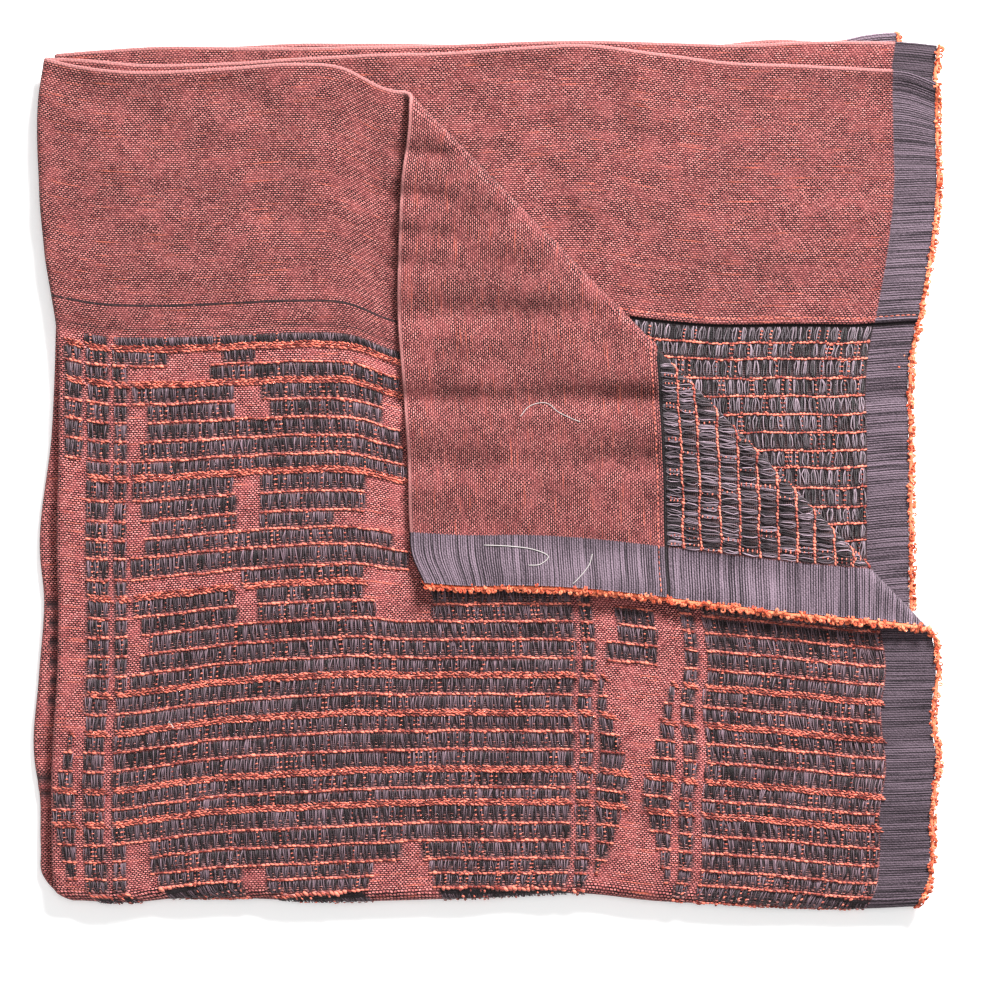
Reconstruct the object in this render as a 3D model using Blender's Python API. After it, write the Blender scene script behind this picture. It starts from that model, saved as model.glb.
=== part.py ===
"""A woven cloth folded in four, with one corner of its top layer turned back.

The cloth is one sheet with a wide turned hem at each cut end. It is folded once at the left, selvedge to
selvedge, and once at the bottom, hem to hem. Four layers lie one above the other, numbered from the top:
the first and third lie face up, the second and fourth face down. A looped yarn edges both selvedges.

The sheet is drawn flat by two distances: across, from the left fold, and along, from the bottom fold. The
outer half of the sheet, the first and fourth layers, has a positive across, and the two upper layers have a
positive along. Every point is then carried round the two folds, and round the turned corner where it lies
in it. The origin is on the surface that the cloth rests on, below the middle of the pack.
"""

import math

import bmesh
import bpy
import numpy as np

MM = 0.001

# The sheet, in millimetres
SHEET = 1.4
FACING = 1.0
FACING_DEPTH = 131.0
FACING_STEP = 0.6
BAND = 26.0

# The pack: its plain outline before each edge's own unevenness, and the radii of its folds
LEFT_START = -217.0
RIGHT_EDGE = 213.0
BOTTOM_START = -209.5
TOP_EDGE = 203.0
LEFT_RADIUS = 2.0
BOTTOM_RADIUS = 3.3
CORNER_RADIUS = 2.8
CORNER_LIES = 2.6
CORNER_SETTLES = 30.0

# The turned corner's fold, from the hem to the selvedge, seen from above
CORNER_FROM = (-41.5, 189.0)
CORNER_TO = (223.0, -83.0)

QUARTER_LEFT = 0.5 * math.pi * LEFT_RADIUS
QUARTER_BOTTOM = 0.5 * math.pi * BOTTOM_RADIUS
STRAIGHT_WIDTH = RIGHT_EDGE - LEFT_START
STRAIGHT_LENGTH = TOP_EDGE - BOTTOM_START
HALF_WIDTH = STRAIGHT_WIDTH + QUARTER_LEFT
HALF_LENGTH = STRAIGHT_LENGTH + QUARTER_BOTTOM
MIDDLE_HEIGHT = BOTTOM_RADIUS + LEFT_RADIUS + 0.5 * SHEET
TOP_HEIGHT = 2.0 * MIDDLE_HEIGHT - 0.5 * SHEET
LEFT_BULGE = LEFT_RADIUS + 0.5 * SHEET
BOTTOM_BULGE = BOTTOM_RADIUS + LEFT_RADIUS + 0.5 * SHEET

# Outermost reach of the left folds, by the place along the pack
# Columns: place, upper pair of layers, lower pair
LEFT_FOLDS = (
    (-215.5, -212.5, -212.5),
    (-211.0, -218.5, -219.5),
    (-204.0, -220.0, -225.5),
    (-190.0, -220.5, -227.0),
    (-164.0, -221.0, -227.5),
    (-143.0, -220.5, -230.5),
    (-104.0, -218.0, -228.0),
    (-64.0, -217.5, -225.5),
    (-44.0, -218.0, -227.5),
    (16.0, -217.0, -221.5),
    (66.0, -218.0, -219.5),
    (104.0, -224.0, -219.0),
    (140.0, -227.0, -219.0),
    (186.0, -227.0, -219.5),
    (208.0, -223.5, -220.5),
)

# Outermost reach of the bottom fold
# Columns: place, reach
BOTTOM_FOLD = (
    (-213.0, -215.0),
    (-191.0, -216.0),
    (-166.0, -214.0),
    (-81.0, -215.5),
    (-6.0, -213.5),
    (44.0, -211.5),
    (79.0, -215.0),
    (134.0, -217.5),
    (190.0, -219.0),
    (212.0, -218.0),
)

# The hem's edge of each layer, by the place across the pack
# Columns: place, first layer, second, third, fourth
HEM_EDGES = (
    (-222.0, 208.0, 208.0, 210.0, 210.0),
    (-204.0, 203.5, 207.0, 211.5, 212.0),
    (-166.0, 200.5, 204.5, 214.0, 214.0),
    (-126.0, 202.5, 205.5, 213.5, 214.5),
    (-96.0, 204.5, 207.5, 213.5, 216.0),
    (-70.0, 203.0, 209.0, 214.0, 216.0),
    (-46.0, 192.0, 210.0, 214.5, 216.0),
    (-22.0, 190.0, 210.5, 215.0, 215.5),
    (13.0, 193.0, 213.0, 216.5, 215.0),
    (44.0, 193.5, 214.5, 217.0, 214.5),
    (78.0, 193.0, 210.0, 216.0, 214.0),
    (113.0, 189.5, 205.5, 215.0, 214.5),
    (150.0, 186.0, 204.0, 216.5, 218.0),
    (185.0, 184.0, 202.0, 216.5, 217.5),
    (199.0, 182.5, 200.5, 216.0, 220.5),
    (213.0, 176.0, 195.0, 214.5, 221.5),
    (226.0, 172.0, 189.0, 213.0, 221.5),
)

# The cloth's edge at each layer's selvedge, by the place along the pack
# Columns: place, first layer, second, third, fourth
SELVEDGES = (
    (-215.5, 212.0, 210.0, 210.0, 212.0),
    (-205.0, 217.0, 210.0, 209.0, 211.0),
    (-189.0, 219.0, 210.0, 208.5, 210.0),
    (-164.0, 219.0, 209.5, 207.0, 208.5),
    (-144.0, 222.0, 209.5, 206.0, 207.0),
    (-114.0, 219.5, 209.5, 205.0, 206.0),
    (-92.0, 222.0, 209.0, 204.5, 205.0),
    (-64.0, 218.0, 209.0, 204.0, 204.0),
    (8.0, 210.0, 209.0, 204.0, 203.0),
    (60.0, 204.5, 209.5, 204.5, 203.0),
    (88.0, 201.0, 215.0, 206.0, 203.0),
    (118.0, 199.0, 220.0, 208.0, 203.0),
    (146.0, 200.0, 222.5, 212.5, 203.0),
    (174.0, 202.5, 222.0, 219.0, 203.0),
    (206.0, 203.5, 221.5, 224.0, 203.5),
)

# Soft troughs and ridges in the pack, above or below its plain height at the top layer
# Columns: from across, from along, to across, to along, half width, height
CREASES = (
    (-45.0, 29.0, 81.0, 36.0, 9.0, -1.1),
    (-47.0, 78.0, 50.0, 80.0, 9.0, -0.7),
    (-44.0, 3.0, 76.0, 5.0, 10.0, -0.6),
    (-16.0, 190.0, 2.0, 160.0, 9.0, -0.8),
    (24.0, 152.0, 40.0, 118.0, 9.0, -0.9),
    (54.0, 208.0, 64.0, 176.0, 10.0, -0.8),
    (112.0, 92.0, 134.0, 118.0, 10.0, -0.8),
    (150.0, 84.0, 172.0, 108.0, 10.0, -0.7),
    (186.0, 37.0, 210.0, 38.0, 6.0, -1.3),
    (178.0, -137.0, 222.0, -135.0, 8.0, -1.0),
    (182.0, -167.0, 222.0, -165.0, 8.0, 0.8),
    (176.0, -190.0, 220.0, -188.0, 8.0, -0.8),
    (-150.0, -64.0, 60.0, -76.0, 26.0, 0.7),
    (-190.0, -160.0, 40.0, -170.0, 24.0, -0.7),
    (-200.0, 50.0, -60.0, 40.0, 20.0, 0.6),
    (-150.0, 160.0, -70.0, 110.0, 20.0, -0.7),
    (60.0, -110.0, 120.0, -190.0, 22.0, 0.6),
)

# Raised ribs between the rows of floats, on the layer that shows
RIB_PITCH = 9.3
RIB_HEIGHT = 0.5
RIBS_BELOW_FACING = 4.0
RIBS_FADE = 6.0

# Mesh spacing: straight columns and rows between the folds, and steps round each fold
COLUMNS = 13
FIELD_ROWS = 10
FACING_ROWS = 7
LEFT_STEPS = 6
BOTTOM_STEPS = 8
CORNER_STEPS = 5
SNAP = 0.4
SHARP_FROM = math.radians(40.0)

# Looped yarn along the selvedges: a narrow backing, and locks that stand out from it
LOOP_GAP = 0.5
LOOP_BACKING = 1.2
LOOP_REACH = 4.4
LOOP_PITCH = 8.0
LOOP_THICKNESS = 1.2
LOOP_CLEAR = 3.0
LOOP_BEND = 300.0
LOOP_BOTTOM_BEND = 150.0

RUST = (0.36, 0.12, 0.10, 1.0)
ORANGE = (0.80, 0.17, 0.05, 1.0)


def column(table, number):
    """Return one column of a table."""
    return np.array([row[number] for row in table])


def follow(stations, values, at):
    """Return the smooth curve through the values, read at each place and level beyond its ends."""
    slopes = np.gradient(values, stations)
    at = np.clip(at, stations[0], stations[-1])
    row = np.clip(np.searchsorted(stations, at, side="right") - 1, 0, len(stations) - 2)
    step = stations[row + 1] - stations[row]
    share = (at - stations[row]) / step
    rest = 1.0 - share
    level = values[row] * (1.0 + 2.0 * share) * rest**2 + values[row + 1] * (3.0 - 2.0 * share) * share**2
    return level + step * share * rest * (slopes[row] * rest - slopes[row + 1] * share)


def ease(share):
    """Return a soft step from 0 to 1."""
    share = np.clip(share, 0.0, 1.0)
    return share * share * (3.0 - 2.0 * share)


def hairpin(distance, radius):
    """Return how far a fold's path runs and rises, and the two parts of its outward normal."""
    angle = np.clip(distance / radius, -0.5 * math.pi, 0.5 * math.pi)
    straight = np.maximum(np.abs(distance) - 0.5 * math.pi * radius, 0.0)
    return straight - radius * np.cos(angle), radius * np.sin(angle), -np.cos(angle), np.sin(angle)


def of_layer(table, at, across, along):
    """Return the table's value for the layer that each point lies in."""
    stations = column(table, 0)
    first, second, third, fourth = (follow(stations, column(table, number), at) for number in (1, 2, 3, 4))
    upper = np.where(across >= 0.0, first, second)
    lower = np.where(across >= 0.0, fourth, third)
    return np.where(along >= 0.0, upper, lower)


def folded(across, along, depth):
    """Return the place in the four layers of each point of the sheet, before the corner is turned back."""
    run, rise, normal_run, normal_rise = hairpin(across, LEFT_RADIUS)
    run = run + depth * normal_run
    rise = rise + depth * normal_rise
    climb, height, normal_climb, normal_height = hairpin(along, BOTTOM_RADIUS)
    climb = climb + rise * normal_climb
    height = height + rise * normal_height + MIDDLE_HEIGHT

    wide = np.clip(run / STRAIGHT_WIDTH, 0.0, 1.0)
    long = np.clip(climb / STRAIGHT_LENGTH, 0.0, 1.0)
    plain_x = LEFT_START + run
    plain_y = BOTTOM_START + climb
    pairs = column(LEFT_FOLDS, 0)
    upper = follow(pairs, column(LEFT_FOLDS, 1), plain_y)
    lower = follow(pairs, column(LEFT_FOLDS, 2), plain_y)
    left = np.where(along >= 0.0, upper, lower) + LEFT_BULGE - LEFT_START
    right = of_layer(SELVEDGES, plain_y, across, along) - RIGHT_EDGE
    bottom = follow(column(BOTTOM_FOLD, 0), column(BOTTOM_FOLD, 1), plain_x) + BOTTOM_BULGE - BOTTOM_START
    top = of_layer(HEM_EDGES, plain_x, across, along) - TOP_EDGE
    x = plain_x + left * ease(1.0 - wide) + right * ease(wide)
    y = plain_y + bottom * ease(1.0 - long) + top * ease(long)
    return x, y, height


def corner_frame():
    """Return a point on the line where the corner starts to turn, and the direction across that line."""
    start = np.array(CORNER_FROM)
    run = np.array(CORNER_TO) - start
    across = np.array((-run[1], run[0])) / np.hypot(run[0], run[1])
    return start - across * (CORNER_RADIUS + 0.5 * SHEET), across


def past_corner(x, y):
    """Return how far each point of the plan lies past the line where the corner starts to turn."""
    start, across = corner_frame()
    return (x - start[0]) * across[0] + (y - start[1]) * across[1]


def turned(x, y, height, along_sheet, across_sheet):
    """Carry the points of the first layer that lie past the corner's line round its fold and back."""
    past = past_corner(x, y)
    depth = height - TOP_HEIGHT
    angle = np.clip(past / CORNER_RADIUS, 0.0, math.pi)
    beyond = np.maximum(past - math.pi * CORNER_RADIUS, 0.0)
    drop = (2.0 * CORNER_RADIUS - CORNER_LIES) * ease(beyond / CORNER_SETTLES)
    out = (CORNER_RADIUS - depth) * np.sin(angle) - beyond
    rise = CORNER_RADIUS + (depth - CORNER_RADIUS) * np.cos(angle) - drop
    moves = (across_sheet > QUARTER_LEFT) & (along_sheet > QUARTER_BOTTOM) & (past > 0.0)
    direction = corner_frame()[1]
    x = np.where(moves, x + (out - past) * direction[0], x)
    y = np.where(moves, y + (out - past) * direction[1], y)
    return x, y, np.where(moves, TOP_HEIGHT + rise, height)


def swell(x, y):
    """Return how far the pack's soft creases lift or lower its top at each point of the plan."""
    total = np.zeros_like(x)
    for from_x, from_y, to_x, to_y, half_width, height in CREASES:
        run_x = to_x - from_x
        run_y = to_y - from_y
        share = np.clip(((x - from_x) * run_x + (y - from_y) * run_y) / (run_x**2 + run_y**2), 0.0, 1.0)
        away = np.hypot(x - from_x - share * run_x, y - from_y - share * run_y)
        total += height * np.exp(-((away / half_width) ** 2))
    return total


def placed(across, along, depth):
    """Return the final place, in metres, of points given by their distances on the flat sheet."""
    x, y, height = folded(across, along, depth)
    x, y, height = turned(x, y, height, along, across)
    height = height * (1.0 + swell(x, y) / TOP_HEIGHT)
    height = np.where(np.abs(height) < 1e-4, 0.0, height)
    return np.stack((x, y, height), axis=1) * MM


def rib_lines():
    """Return the places along the sheet of the ribs and of the valleys between them, in turn."""
    first = HALF_LENGTH - FACING_DEPTH - RIBS_BELOW_FACING
    count = int((first - QUARTER_BOTTOM) / RIB_PITCH)
    return [first - 0.5 * RIB_PITCH * step for step in range(2 * count + 1)]


def rib_relief(across, along):
    """Return the ribs' height at each point: whole on a rib, nothing in a valley, none on the plain parts."""
    first = HALF_LENGTH - FACING_DEPTH - RIBS_BELOW_FACING
    phase = (first - along) / RIB_PITCH
    wave = np.abs(2.0 * (phase - np.floor(phase)) - 1.0)
    inside = ease((across - QUARTER_LEFT) / RIBS_FADE) * ease((HALF_WIDTH - BAND - across) / RIBS_FADE)
    rows = (along > QUARTER_BOTTOM) & (along <= first + 0.1)
    return np.where(rows, RIB_HEIGHT * wave * inside, 0.0)


def across_lines():
    """Return the sheet's mesh lines across: close round the left fold, even beyond it."""
    fold = np.linspace(-QUARTER_LEFT, QUARTER_LEFT, LEFT_STEPS + 1)
    straight = np.linspace(QUARTER_LEFT, HALF_WIDTH, COLUMNS + 1)[1:]
    return np.concatenate((-straight[::-1], fold, straight))


def along_lines():
    """Return the sheet's mesh lines along: close round the bottom fold and at the facings' edges."""
    fold = np.linspace(-QUARTER_BOTTOM, QUARTER_BOTTOM, BOTTOM_STEPS + 1)
    step = HALF_LENGTH - FACING_DEPTH
    field = np.linspace(QUARTER_BOTTOM, step - FACING_STEP, FIELD_ROWS + 1)[1:]
    facing = np.linspace(step, HALF_LENGTH, FACING_ROWS + 1)
    straight = np.concatenate((field, facing))
    return np.concatenate((-straight[::-1], fold, straight))


def cut(sheet, faces, point, normal):
    """Cut the faces of a flat mesh along a line."""
    edges = {edge for face in faces for edge in face.edges}
    verts = {vert for face in faces for vert in face.verts}
    bmesh.ops.bisect_plane(
        sheet,
        geom=list(verts) + list(edges) + list(faces),
        dist=SNAP,
        plane_co=point,
        plane_no=normal,
    )


def flat_sheet():
    """Return the flat mesh, whose points keep their distances across and along in two layers of data."""
    sheet = bmesh.new()
    across_layer = sheet.verts.layers.float.new("across")
    along_layer = sheet.verts.layers.float.new("along")
    first_layer = sheet.faces.layers.int.new("first_layer")
    grid = [[sheet.verts.new((across, along, 0.0)) for across in across_lines()] for along in along_lines()]
    for lower, upper in zip(grid, grid[1:]):
        for number in range(len(lower) - 1):
            sheet.faces.new((lower[number], lower[number + 1], upper[number + 1], upper[number]))

    def first_layer_faces():
        return [
            face
            for face in sheet.faces
            if all(vert.co.x > QUARTER_LEFT - 0.01 and vert.co.y > QUARTER_BOTTOM - 0.01 for vert in face.verts)
        ]

    for along in rib_lines():
        cut(sheet, first_layer_faces(), (0.0, along, 0.0), (0.0, 1.0, 0.0))
    for vert in sheet.verts:
        vert[across_layer] = vert.co.x
        vert[along_layer] = vert.co.y

    # The corner's lines are straight on the plan, so the first layer is laid out on it before they are cut
    faces = first_layer_faces()
    verts = list({vert for face in faces for vert in face.verts})
    across = np.array([vert[across_layer] for vert in verts])
    along = np.array([vert[along_layer] for vert in verts])
    x, y, _ = folded(across, along, np.zeros_like(across))
    for vert, place_x, place_y in zip(verts, x, y):
        vert.co = (place_x, place_y, 0.0)
    start, direction = corner_frame()
    turn = math.pi * CORNER_RADIUS
    distances = [turn * step / CORNER_STEPS for step in range(CORNER_STEPS + 1)]
    distances.append(turn + 0.45 * CORNER_SETTLES)
    for face in faces:
        face[first_layer] = 1
    for distance in distances:
        point = start + direction * distance
        now = [face for face in sheet.faces if face[first_layer] == 1]
        cut(sheet, now, (point[0], point[1], 0.0), (direction[0], direction[1], 0.0))
    return sheet


def thick_mesh(name, sheet):
    """Return the closed mesh that lies between the sheet's face and its back, once folded."""
    sheet.verts.index_update()
    rows = np.array(rib_lines())
    across = np.array([vert[sheet.verts.layers.float["across"]] for vert in sheet.verts])
    along = np.array([vert[sheet.verts.layers.float["along"]] for vert in sheet.verts])
    ribs = rib_relief(across, along)
    facing = np.clip((np.abs(along) - (HALF_LENGTH - FACING_DEPTH)) / FACING_STEP + 1.0, 0.0, 1.0)
    face = placed(across, along, 0.5 * SHEET + ribs)
    back = placed(across, along, -0.5 * SHEET - FACING * facing - 0.5 * ribs)
    count = len(across)
    solid = bmesh.new()
    verts = [solid.verts.new(point) for point in np.concatenate((face, back))]
    for flat in sheet.faces:
        ring = [vert.index for vert in flat.verts]
        solid.faces.new([verts[number] for number in ring])
        solid.faces.new([verts[number + count] for number in reversed(ring)])
    for edge in sheet.edges:
        one, two = (vert.index for vert in edge.verts)
        if edge.is_boundary:
            solid.faces.new([verts[number] for number in (one, two, two + count, one + count)])
        elif across[one] > QUARTER_LEFT and abs(along[one] - along[two]) < SNAP:
            if np.abs(rows - along[one]).min() < SNAP:
                solid.edges.get((verts[one], verts[two])).smooth = False
    sheet.free()
    return finished_mesh(name, solid)


def finished_mesh(name, solid):
    """Return a mesh of triangles with its faces pointing out, smooth but for its sharp and creased edges."""
    bmesh.ops.recalc_face_normals(solid, faces=solid.faces)
    bmesh.ops.triangulate(solid, faces=solid.faces)
    for face in solid.faces:
        face.smooth = True
    for edge in solid.edges:
        if edge.calc_face_angle(0.0) > SHARP_FROM:
            edge.smooth = False
    mesh = bpy.data.meshes.new(name)
    solid.to_mesh(mesh)
    solid.free()
    return mesh


def beside_edge(across, along, depth):
    """Return the place of points beside the selvedge, carried straight between the cloth's own mesh lines."""
    lines = along_lines()
    if across[0] > 0.0 and along[0] > 0.0:
        lines = np.unique(np.concatenate((lines, rib_lines())))
    row = np.clip(np.searchsorted(lines, along), 1, len(lines) - 1)
    share = ((along - lines[row - 1]) / (lines[row] - lines[row - 1]))[:, None]
    return placed(across, lines[row - 1], depth) * (1.0 - share) + placed(across, lines[row], depth) * share


def loop_mesh(name, side, start, end):
    """Return one run of looped yarn: a backing beside the selvedge and a wedge-shaped lock at each pitch."""
    count = max(2, int(abs(end - start) / LOOP_PITCH))
    pitch = (end - start) / count
    edge = HALF_WIDTH + LOOP_GAP
    outer = edge + LOOP_BACKING
    top = 0.5 * SHEET
    under = top - LOOP_THICKNESS
    points = []
    for number in range(count + 1):
        along = start + pitch * number
        points += [(edge, along, top), (edge, along, under), (outer, along, under), (outer, along, top)]
        if number < count:
            root = along + 0.62 * pitch
            reach = HALF_WIDTH + LOOP_REACH + 0.5 * math.sin(2.3 * number + start)
            points += [(outer, root, under), (outer, root, top)]
            points += [(reach, along + 0.14 * pitch, top - 0.3), (reach, root - 0.14 * pitch, top)]
    across, along, depth = np.array(points).T
    if side < 0.0:
        across = -across
    solid = bmesh.new()
    verts = [solid.verts.new(point) for point in beside_edge(across, along, depth)]
    for number in range(count):
        base = 8 * number
        top_in, under_in, under_out, top_out, root_under, root_top, tip_near, tip_far = range(base, base + 8)
        next_in, next_under_in, next_under_out, next_top_out = range(base + 8, base + 12)
        rings = (
            (top_in, next_in, next_under_in, under_in),
            (top_in, top_out, root_top, next_top_out, next_in),
            (under_in, next_under_in, next_under_out, root_under, under_out),
            (root_top, root_under, next_under_out, next_top_out),
            (top_out, tip_near, tip_far, root_top),
            (under_out, root_under, tip_far, tip_near),
            (top_out, under_out, tip_near),
            (root_top, tip_far, root_under),
        )
        for ring in rings:
            solid.faces.new([verts[corner] for corner in ring])
    last = 8 * count
    solid.faces.new([verts[corner] for corner in (0, 1, 2, 3)])
    solid.faces.new([verts[corner] for corner in (last, last + 3, last + 2, last + 1)])
    return finished_mesh(name, solid)


def along_at_corner(distance):
    """Return the place along the first layer's selvedge that lies so far past the corner's line."""
    along = np.linspace(QUARTER_BOTTOM, HALF_LENGTH, 400)
    across = np.full_like(along, HALF_WIDTH)
    x, y, _ = folded(across, along, np.zeros_like(along))
    return float(np.interp(distance, past_corner(x, y), along))


def loop_runs():
    """Return each run of looped yarn: its name, its side of the left fold, and where it starts and ends."""
    near_fold = QUARTER_BOTTOM + LOOP_CLEAR
    before_corner = along_at_corner(-LOOP_CLEAR)
    after_corner = along_at_corner(math.pi * CORNER_RADIUS + LOOP_CLEAR)
    past_bend = LOOP_BEND + LOOP_GAP
    return (
        ("loops_top", 1.0, near_fold, before_corner),
        ("loops_corner", 1.0, after_corner, HALF_LENGTH),
        ("loops_second_near", -1.0, near_fold, LOOP_BEND),
        ("loops_second_far", -1.0, past_bend, HALF_LENGTH),
        ("loops_third_near", -1.0, -near_fold, -LOOP_BEND),
        ("loops_third_far", -1.0, -past_bend, -HALF_LENGTH),
        ("loops_bottom_near", 1.0, -near_fold, -LOOP_BOTTOM_BEND),
        ("loops_bottom_far", 1.0, -LOOP_BOTTOM_BEND - LOOP_GAP, -HALF_LENGTH),
    )


def yarn_material(name, colour, roughness):
    """Return a plain material for one yarn."""
    material = bpy.data.materials.new(name)
    material.use_nodes = True
    shader = material.node_tree.nodes["Principled BSDF"]
    shader.inputs["Base Color"].default_value = colour
    shader.inputs["Roughness"].default_value = roughness
    shader.inputs["Metallic"].default_value = 0.0
    return material


def add_object(name, mesh, material):
    """Put a mesh in the scene with its material."""
    mesh.materials.append(material)
    bpy.context.scene.collection.objects.link(bpy.data.objects.new(name, mesh))


def build():
    """Build the cloth and the looped yarn at its selvedges."""
    for item in list(bpy.data.objects):
        bpy.data.objects.remove(item)
    add_object("cloth", thick_mesh("cloth", flat_sheet()), yarn_material("rust_yarn", RUST, 0.9))
    orange = yarn_material("orange_yarn", ORANGE, 0.95)
    for name, side, start, end in loop_runs():
        add_object(name, loop_mesh(name, side, start, end), orange)


build()
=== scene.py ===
"""Looks for a woven cloth that lies folded in four, with one corner of its top layer turned back.

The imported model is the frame. Every thread, rib and loop is drawn on the flat sheet first, by its distance
across from the left fold, its woven place from the bottom fold and its depth from the sheet's middle, all in
millimetres, and is then carried round the folds by the same formulas as the part's own solids.
"""

import logging
import math
from dataclasses import dataclass, field
from enum import Enum

import bpy
import numpy as np
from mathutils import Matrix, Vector
from mathutils.bvhtree import BVHTree


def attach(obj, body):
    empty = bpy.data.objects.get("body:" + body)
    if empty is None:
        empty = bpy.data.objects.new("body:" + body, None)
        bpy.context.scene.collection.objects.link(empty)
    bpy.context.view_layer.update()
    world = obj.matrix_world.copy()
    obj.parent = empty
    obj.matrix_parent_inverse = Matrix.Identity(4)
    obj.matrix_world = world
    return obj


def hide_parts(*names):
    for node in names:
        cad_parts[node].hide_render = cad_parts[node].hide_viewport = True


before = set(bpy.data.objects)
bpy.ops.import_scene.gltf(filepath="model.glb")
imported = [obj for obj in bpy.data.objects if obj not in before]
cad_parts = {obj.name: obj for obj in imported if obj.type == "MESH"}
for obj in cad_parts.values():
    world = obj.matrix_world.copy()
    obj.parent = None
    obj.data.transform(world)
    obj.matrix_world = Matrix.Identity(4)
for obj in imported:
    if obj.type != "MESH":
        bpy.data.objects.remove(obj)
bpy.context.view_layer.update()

MM = 0.001
FULL_TURN = 2.0 * math.pi

log = logging.getLogger("folded_cloth")


class Side(Enum):
    """The face of the cloth that a thread lies on, as the sign of its depth."""

    FACE = 1.0
    REVERSE = -1.0


class Slot(Enum):
    """The record's material slots."""

    CLOTH = "cloth"
    EDGING = "edging_yarn"


# Outermost reach of the left folds, by the place along the pack: place, upper pair of layers, lower pair
LEFT_FOLDS = (
    (-215.5, -212.5, -212.5),
    (-211.0, -218.5, -219.5),
    (-204.0, -220.0, -225.5),
    (-190.0, -220.5, -227.0),
    (-164.0, -221.0, -227.5),
    (-143.0, -220.5, -230.5),
    (-104.0, -218.0, -228.0),
    (-64.0, -217.5, -225.5),
    (-44.0, -218.0, -227.5),
    (16.0, -217.0, -221.5),
    (66.0, -218.0, -219.5),
    (104.0, -224.0, -219.0),
    (140.0, -227.0, -219.0),
    (186.0, -227.0, -219.5),
    (208.0, -223.5, -220.5),
)

# Outermost reach of the bottom fold: place, reach
BOTTOM_FOLD = (
    (-213.0, -215.0),
    (-191.0, -216.0),
    (-166.0, -214.0),
    (-81.0, -215.5),
    (-6.0, -213.5),
    (44.0, -211.5),
    (79.0, -215.0),
    (134.0, -217.5),
    (190.0, -219.0),
    (212.0, -218.0),
)

# The hem's edge of each layer: place across the pack, first layer, second, third, fourth
HEM_EDGES = (
    (-222.0, 208.0, 208.0, 210.0, 210.0),
    (-204.0, 203.5, 207.0, 211.5, 212.0),
    (-166.0, 200.5, 204.5, 214.0, 214.0),
    (-126.0, 202.5, 205.5, 213.5, 214.5),
    (-96.0, 204.5, 207.5, 213.5, 216.0),
    (-70.0, 203.0, 209.0, 214.0, 216.0),
    (-46.0, 192.0, 210.0, 214.5, 216.0),
    (-22.0, 190.0, 210.5, 215.0, 215.5),
    (13.0, 193.0, 213.0, 216.5, 215.0),
    (44.0, 193.5, 214.5, 217.0, 214.5),
    (78.0, 193.0, 210.0, 216.0, 214.0),
    (113.0, 189.5, 205.5, 215.0, 214.5),
    (150.0, 186.0, 204.0, 216.5, 218.0),
    (185.0, 184.0, 202.0, 216.5, 217.5),
    (199.0, 182.5, 200.5, 216.0, 220.5),
    (213.0, 176.0, 195.0, 214.5, 221.5),
    (226.0, 172.0, 189.0, 213.0, 221.5),
)

# The cloth's edge at each layer's selvedge: place along the pack, first layer, second, third, fourth
SELVEDGES = (
    (-215.5, 212.0, 210.0, 210.0, 212.0),
    (-205.0, 217.0, 210.0, 209.0, 211.0),
    (-189.0, 219.0, 210.0, 208.5, 210.0),
    (-164.0, 219.0, 209.5, 207.0, 208.5),
    (-144.0, 222.0, 209.5, 206.0, 207.0),
    (-114.0, 219.5, 209.5, 205.0, 206.0),
    (-92.0, 222.0, 209.0, 204.5, 205.0),
    (-64.0, 218.0, 209.0, 204.0, 204.0),
    (8.0, 213.0, 209.0, 204.0, 203.0),
    (60.0, 208.5, 209.5, 204.5, 203.0),
    (88.0, 206.0, 215.0, 206.0, 203.0),
    (118.0, 204.0, 220.0, 208.0, 203.0),
    (146.0, 203.5, 222.5, 212.5, 203.0),
    (174.0, 204.5, 222.0, 219.0, 203.0),
    (206.0, 203.5, 221.5, 224.0, 203.5),
)

# Soft troughs and ridges: from across, from along, to across, to along, half width, height at the top layer
CREASES = (
    (-45.0, 36.0, 81.0, 36.0, 6.0, -1.9),
    (-47.0, 78.0, 50.0, 80.0, 7.0, -1.3),
    (-44.0, 3.0, 76.0, 5.0, 7.0, -1.2),
    (-16.0, 190.0, 2.0, 160.0, 7.0, -1.2),
    (24.0, 152.0, 40.0, 118.0, 7.0, -1.2),
    (54.0, 208.0, 64.0, 176.0, 8.0, -1.4),
    (112.0, 92.0, 134.0, 118.0, 5.0, -1.3),
    (150.0, 84.0, 172.0, 108.0, 5.0, -1.3),
    (184.0, 36.0, 210.0, 38.0, 4.0, -2.4),
    (178.0, -137.0, 222.0, -135.0, 5.0, -1.3),
    (182.0, -167.0, 222.0, -165.0, 6.0, 1.0),
    (176.0, -190.0, 220.0, -188.0, 6.0, -1.0),
    (-150.0, -64.0, 60.0, -76.0, 26.0, 0.7),
    (-190.0, -160.0, 40.0, -170.0, 24.0, -0.7),
    (-200.0, 50.0, -60.0, 40.0, 20.0, 0.6),
    (-150.0, 160.0, -70.0, 110.0, 20.0, -0.7),
    (60.0, -110.0, 120.0, -190.0, 22.0, 0.6),
    (-60.0, 182.0, -55.0, 95.0, 9.0, -1.0),
    (-55.0, 95.0, -54.0, 30.0, 8.0, -1.0),
    (-49.0, 160.0, -22.0, 158.0, 3.5, -1.0),
    (-50.0, 138.5, -24.0, 137.0, 3.5, -1.0),
    (-50.0, 120.0, -20.0, 117.0, 4.0, -1.0),
    (-51.0, 104.0, -26.0, 102.0, 3.5, -0.8),
    (20.0, 196.0, 30.0, 172.0, 8.0, -1.3),
    (70.0, 200.0, 76.0, 176.0, 7.0, 1.0),
    (120.0, 196.0, 132.0, 174.0, 9.0, -1.2),
    (190.0, 190.0, 188.0, 60.0, 7.0, -0.8),
    (-202.0, 186.0, -176.0, 178.0, 8.0, -1.1),
    (-140.0, 190.0, -118.0, 184.0, 8.0, -1.1),
    (-214.0, 130.0, -190.0, 128.0, 6.0, -0.7),
)

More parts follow.
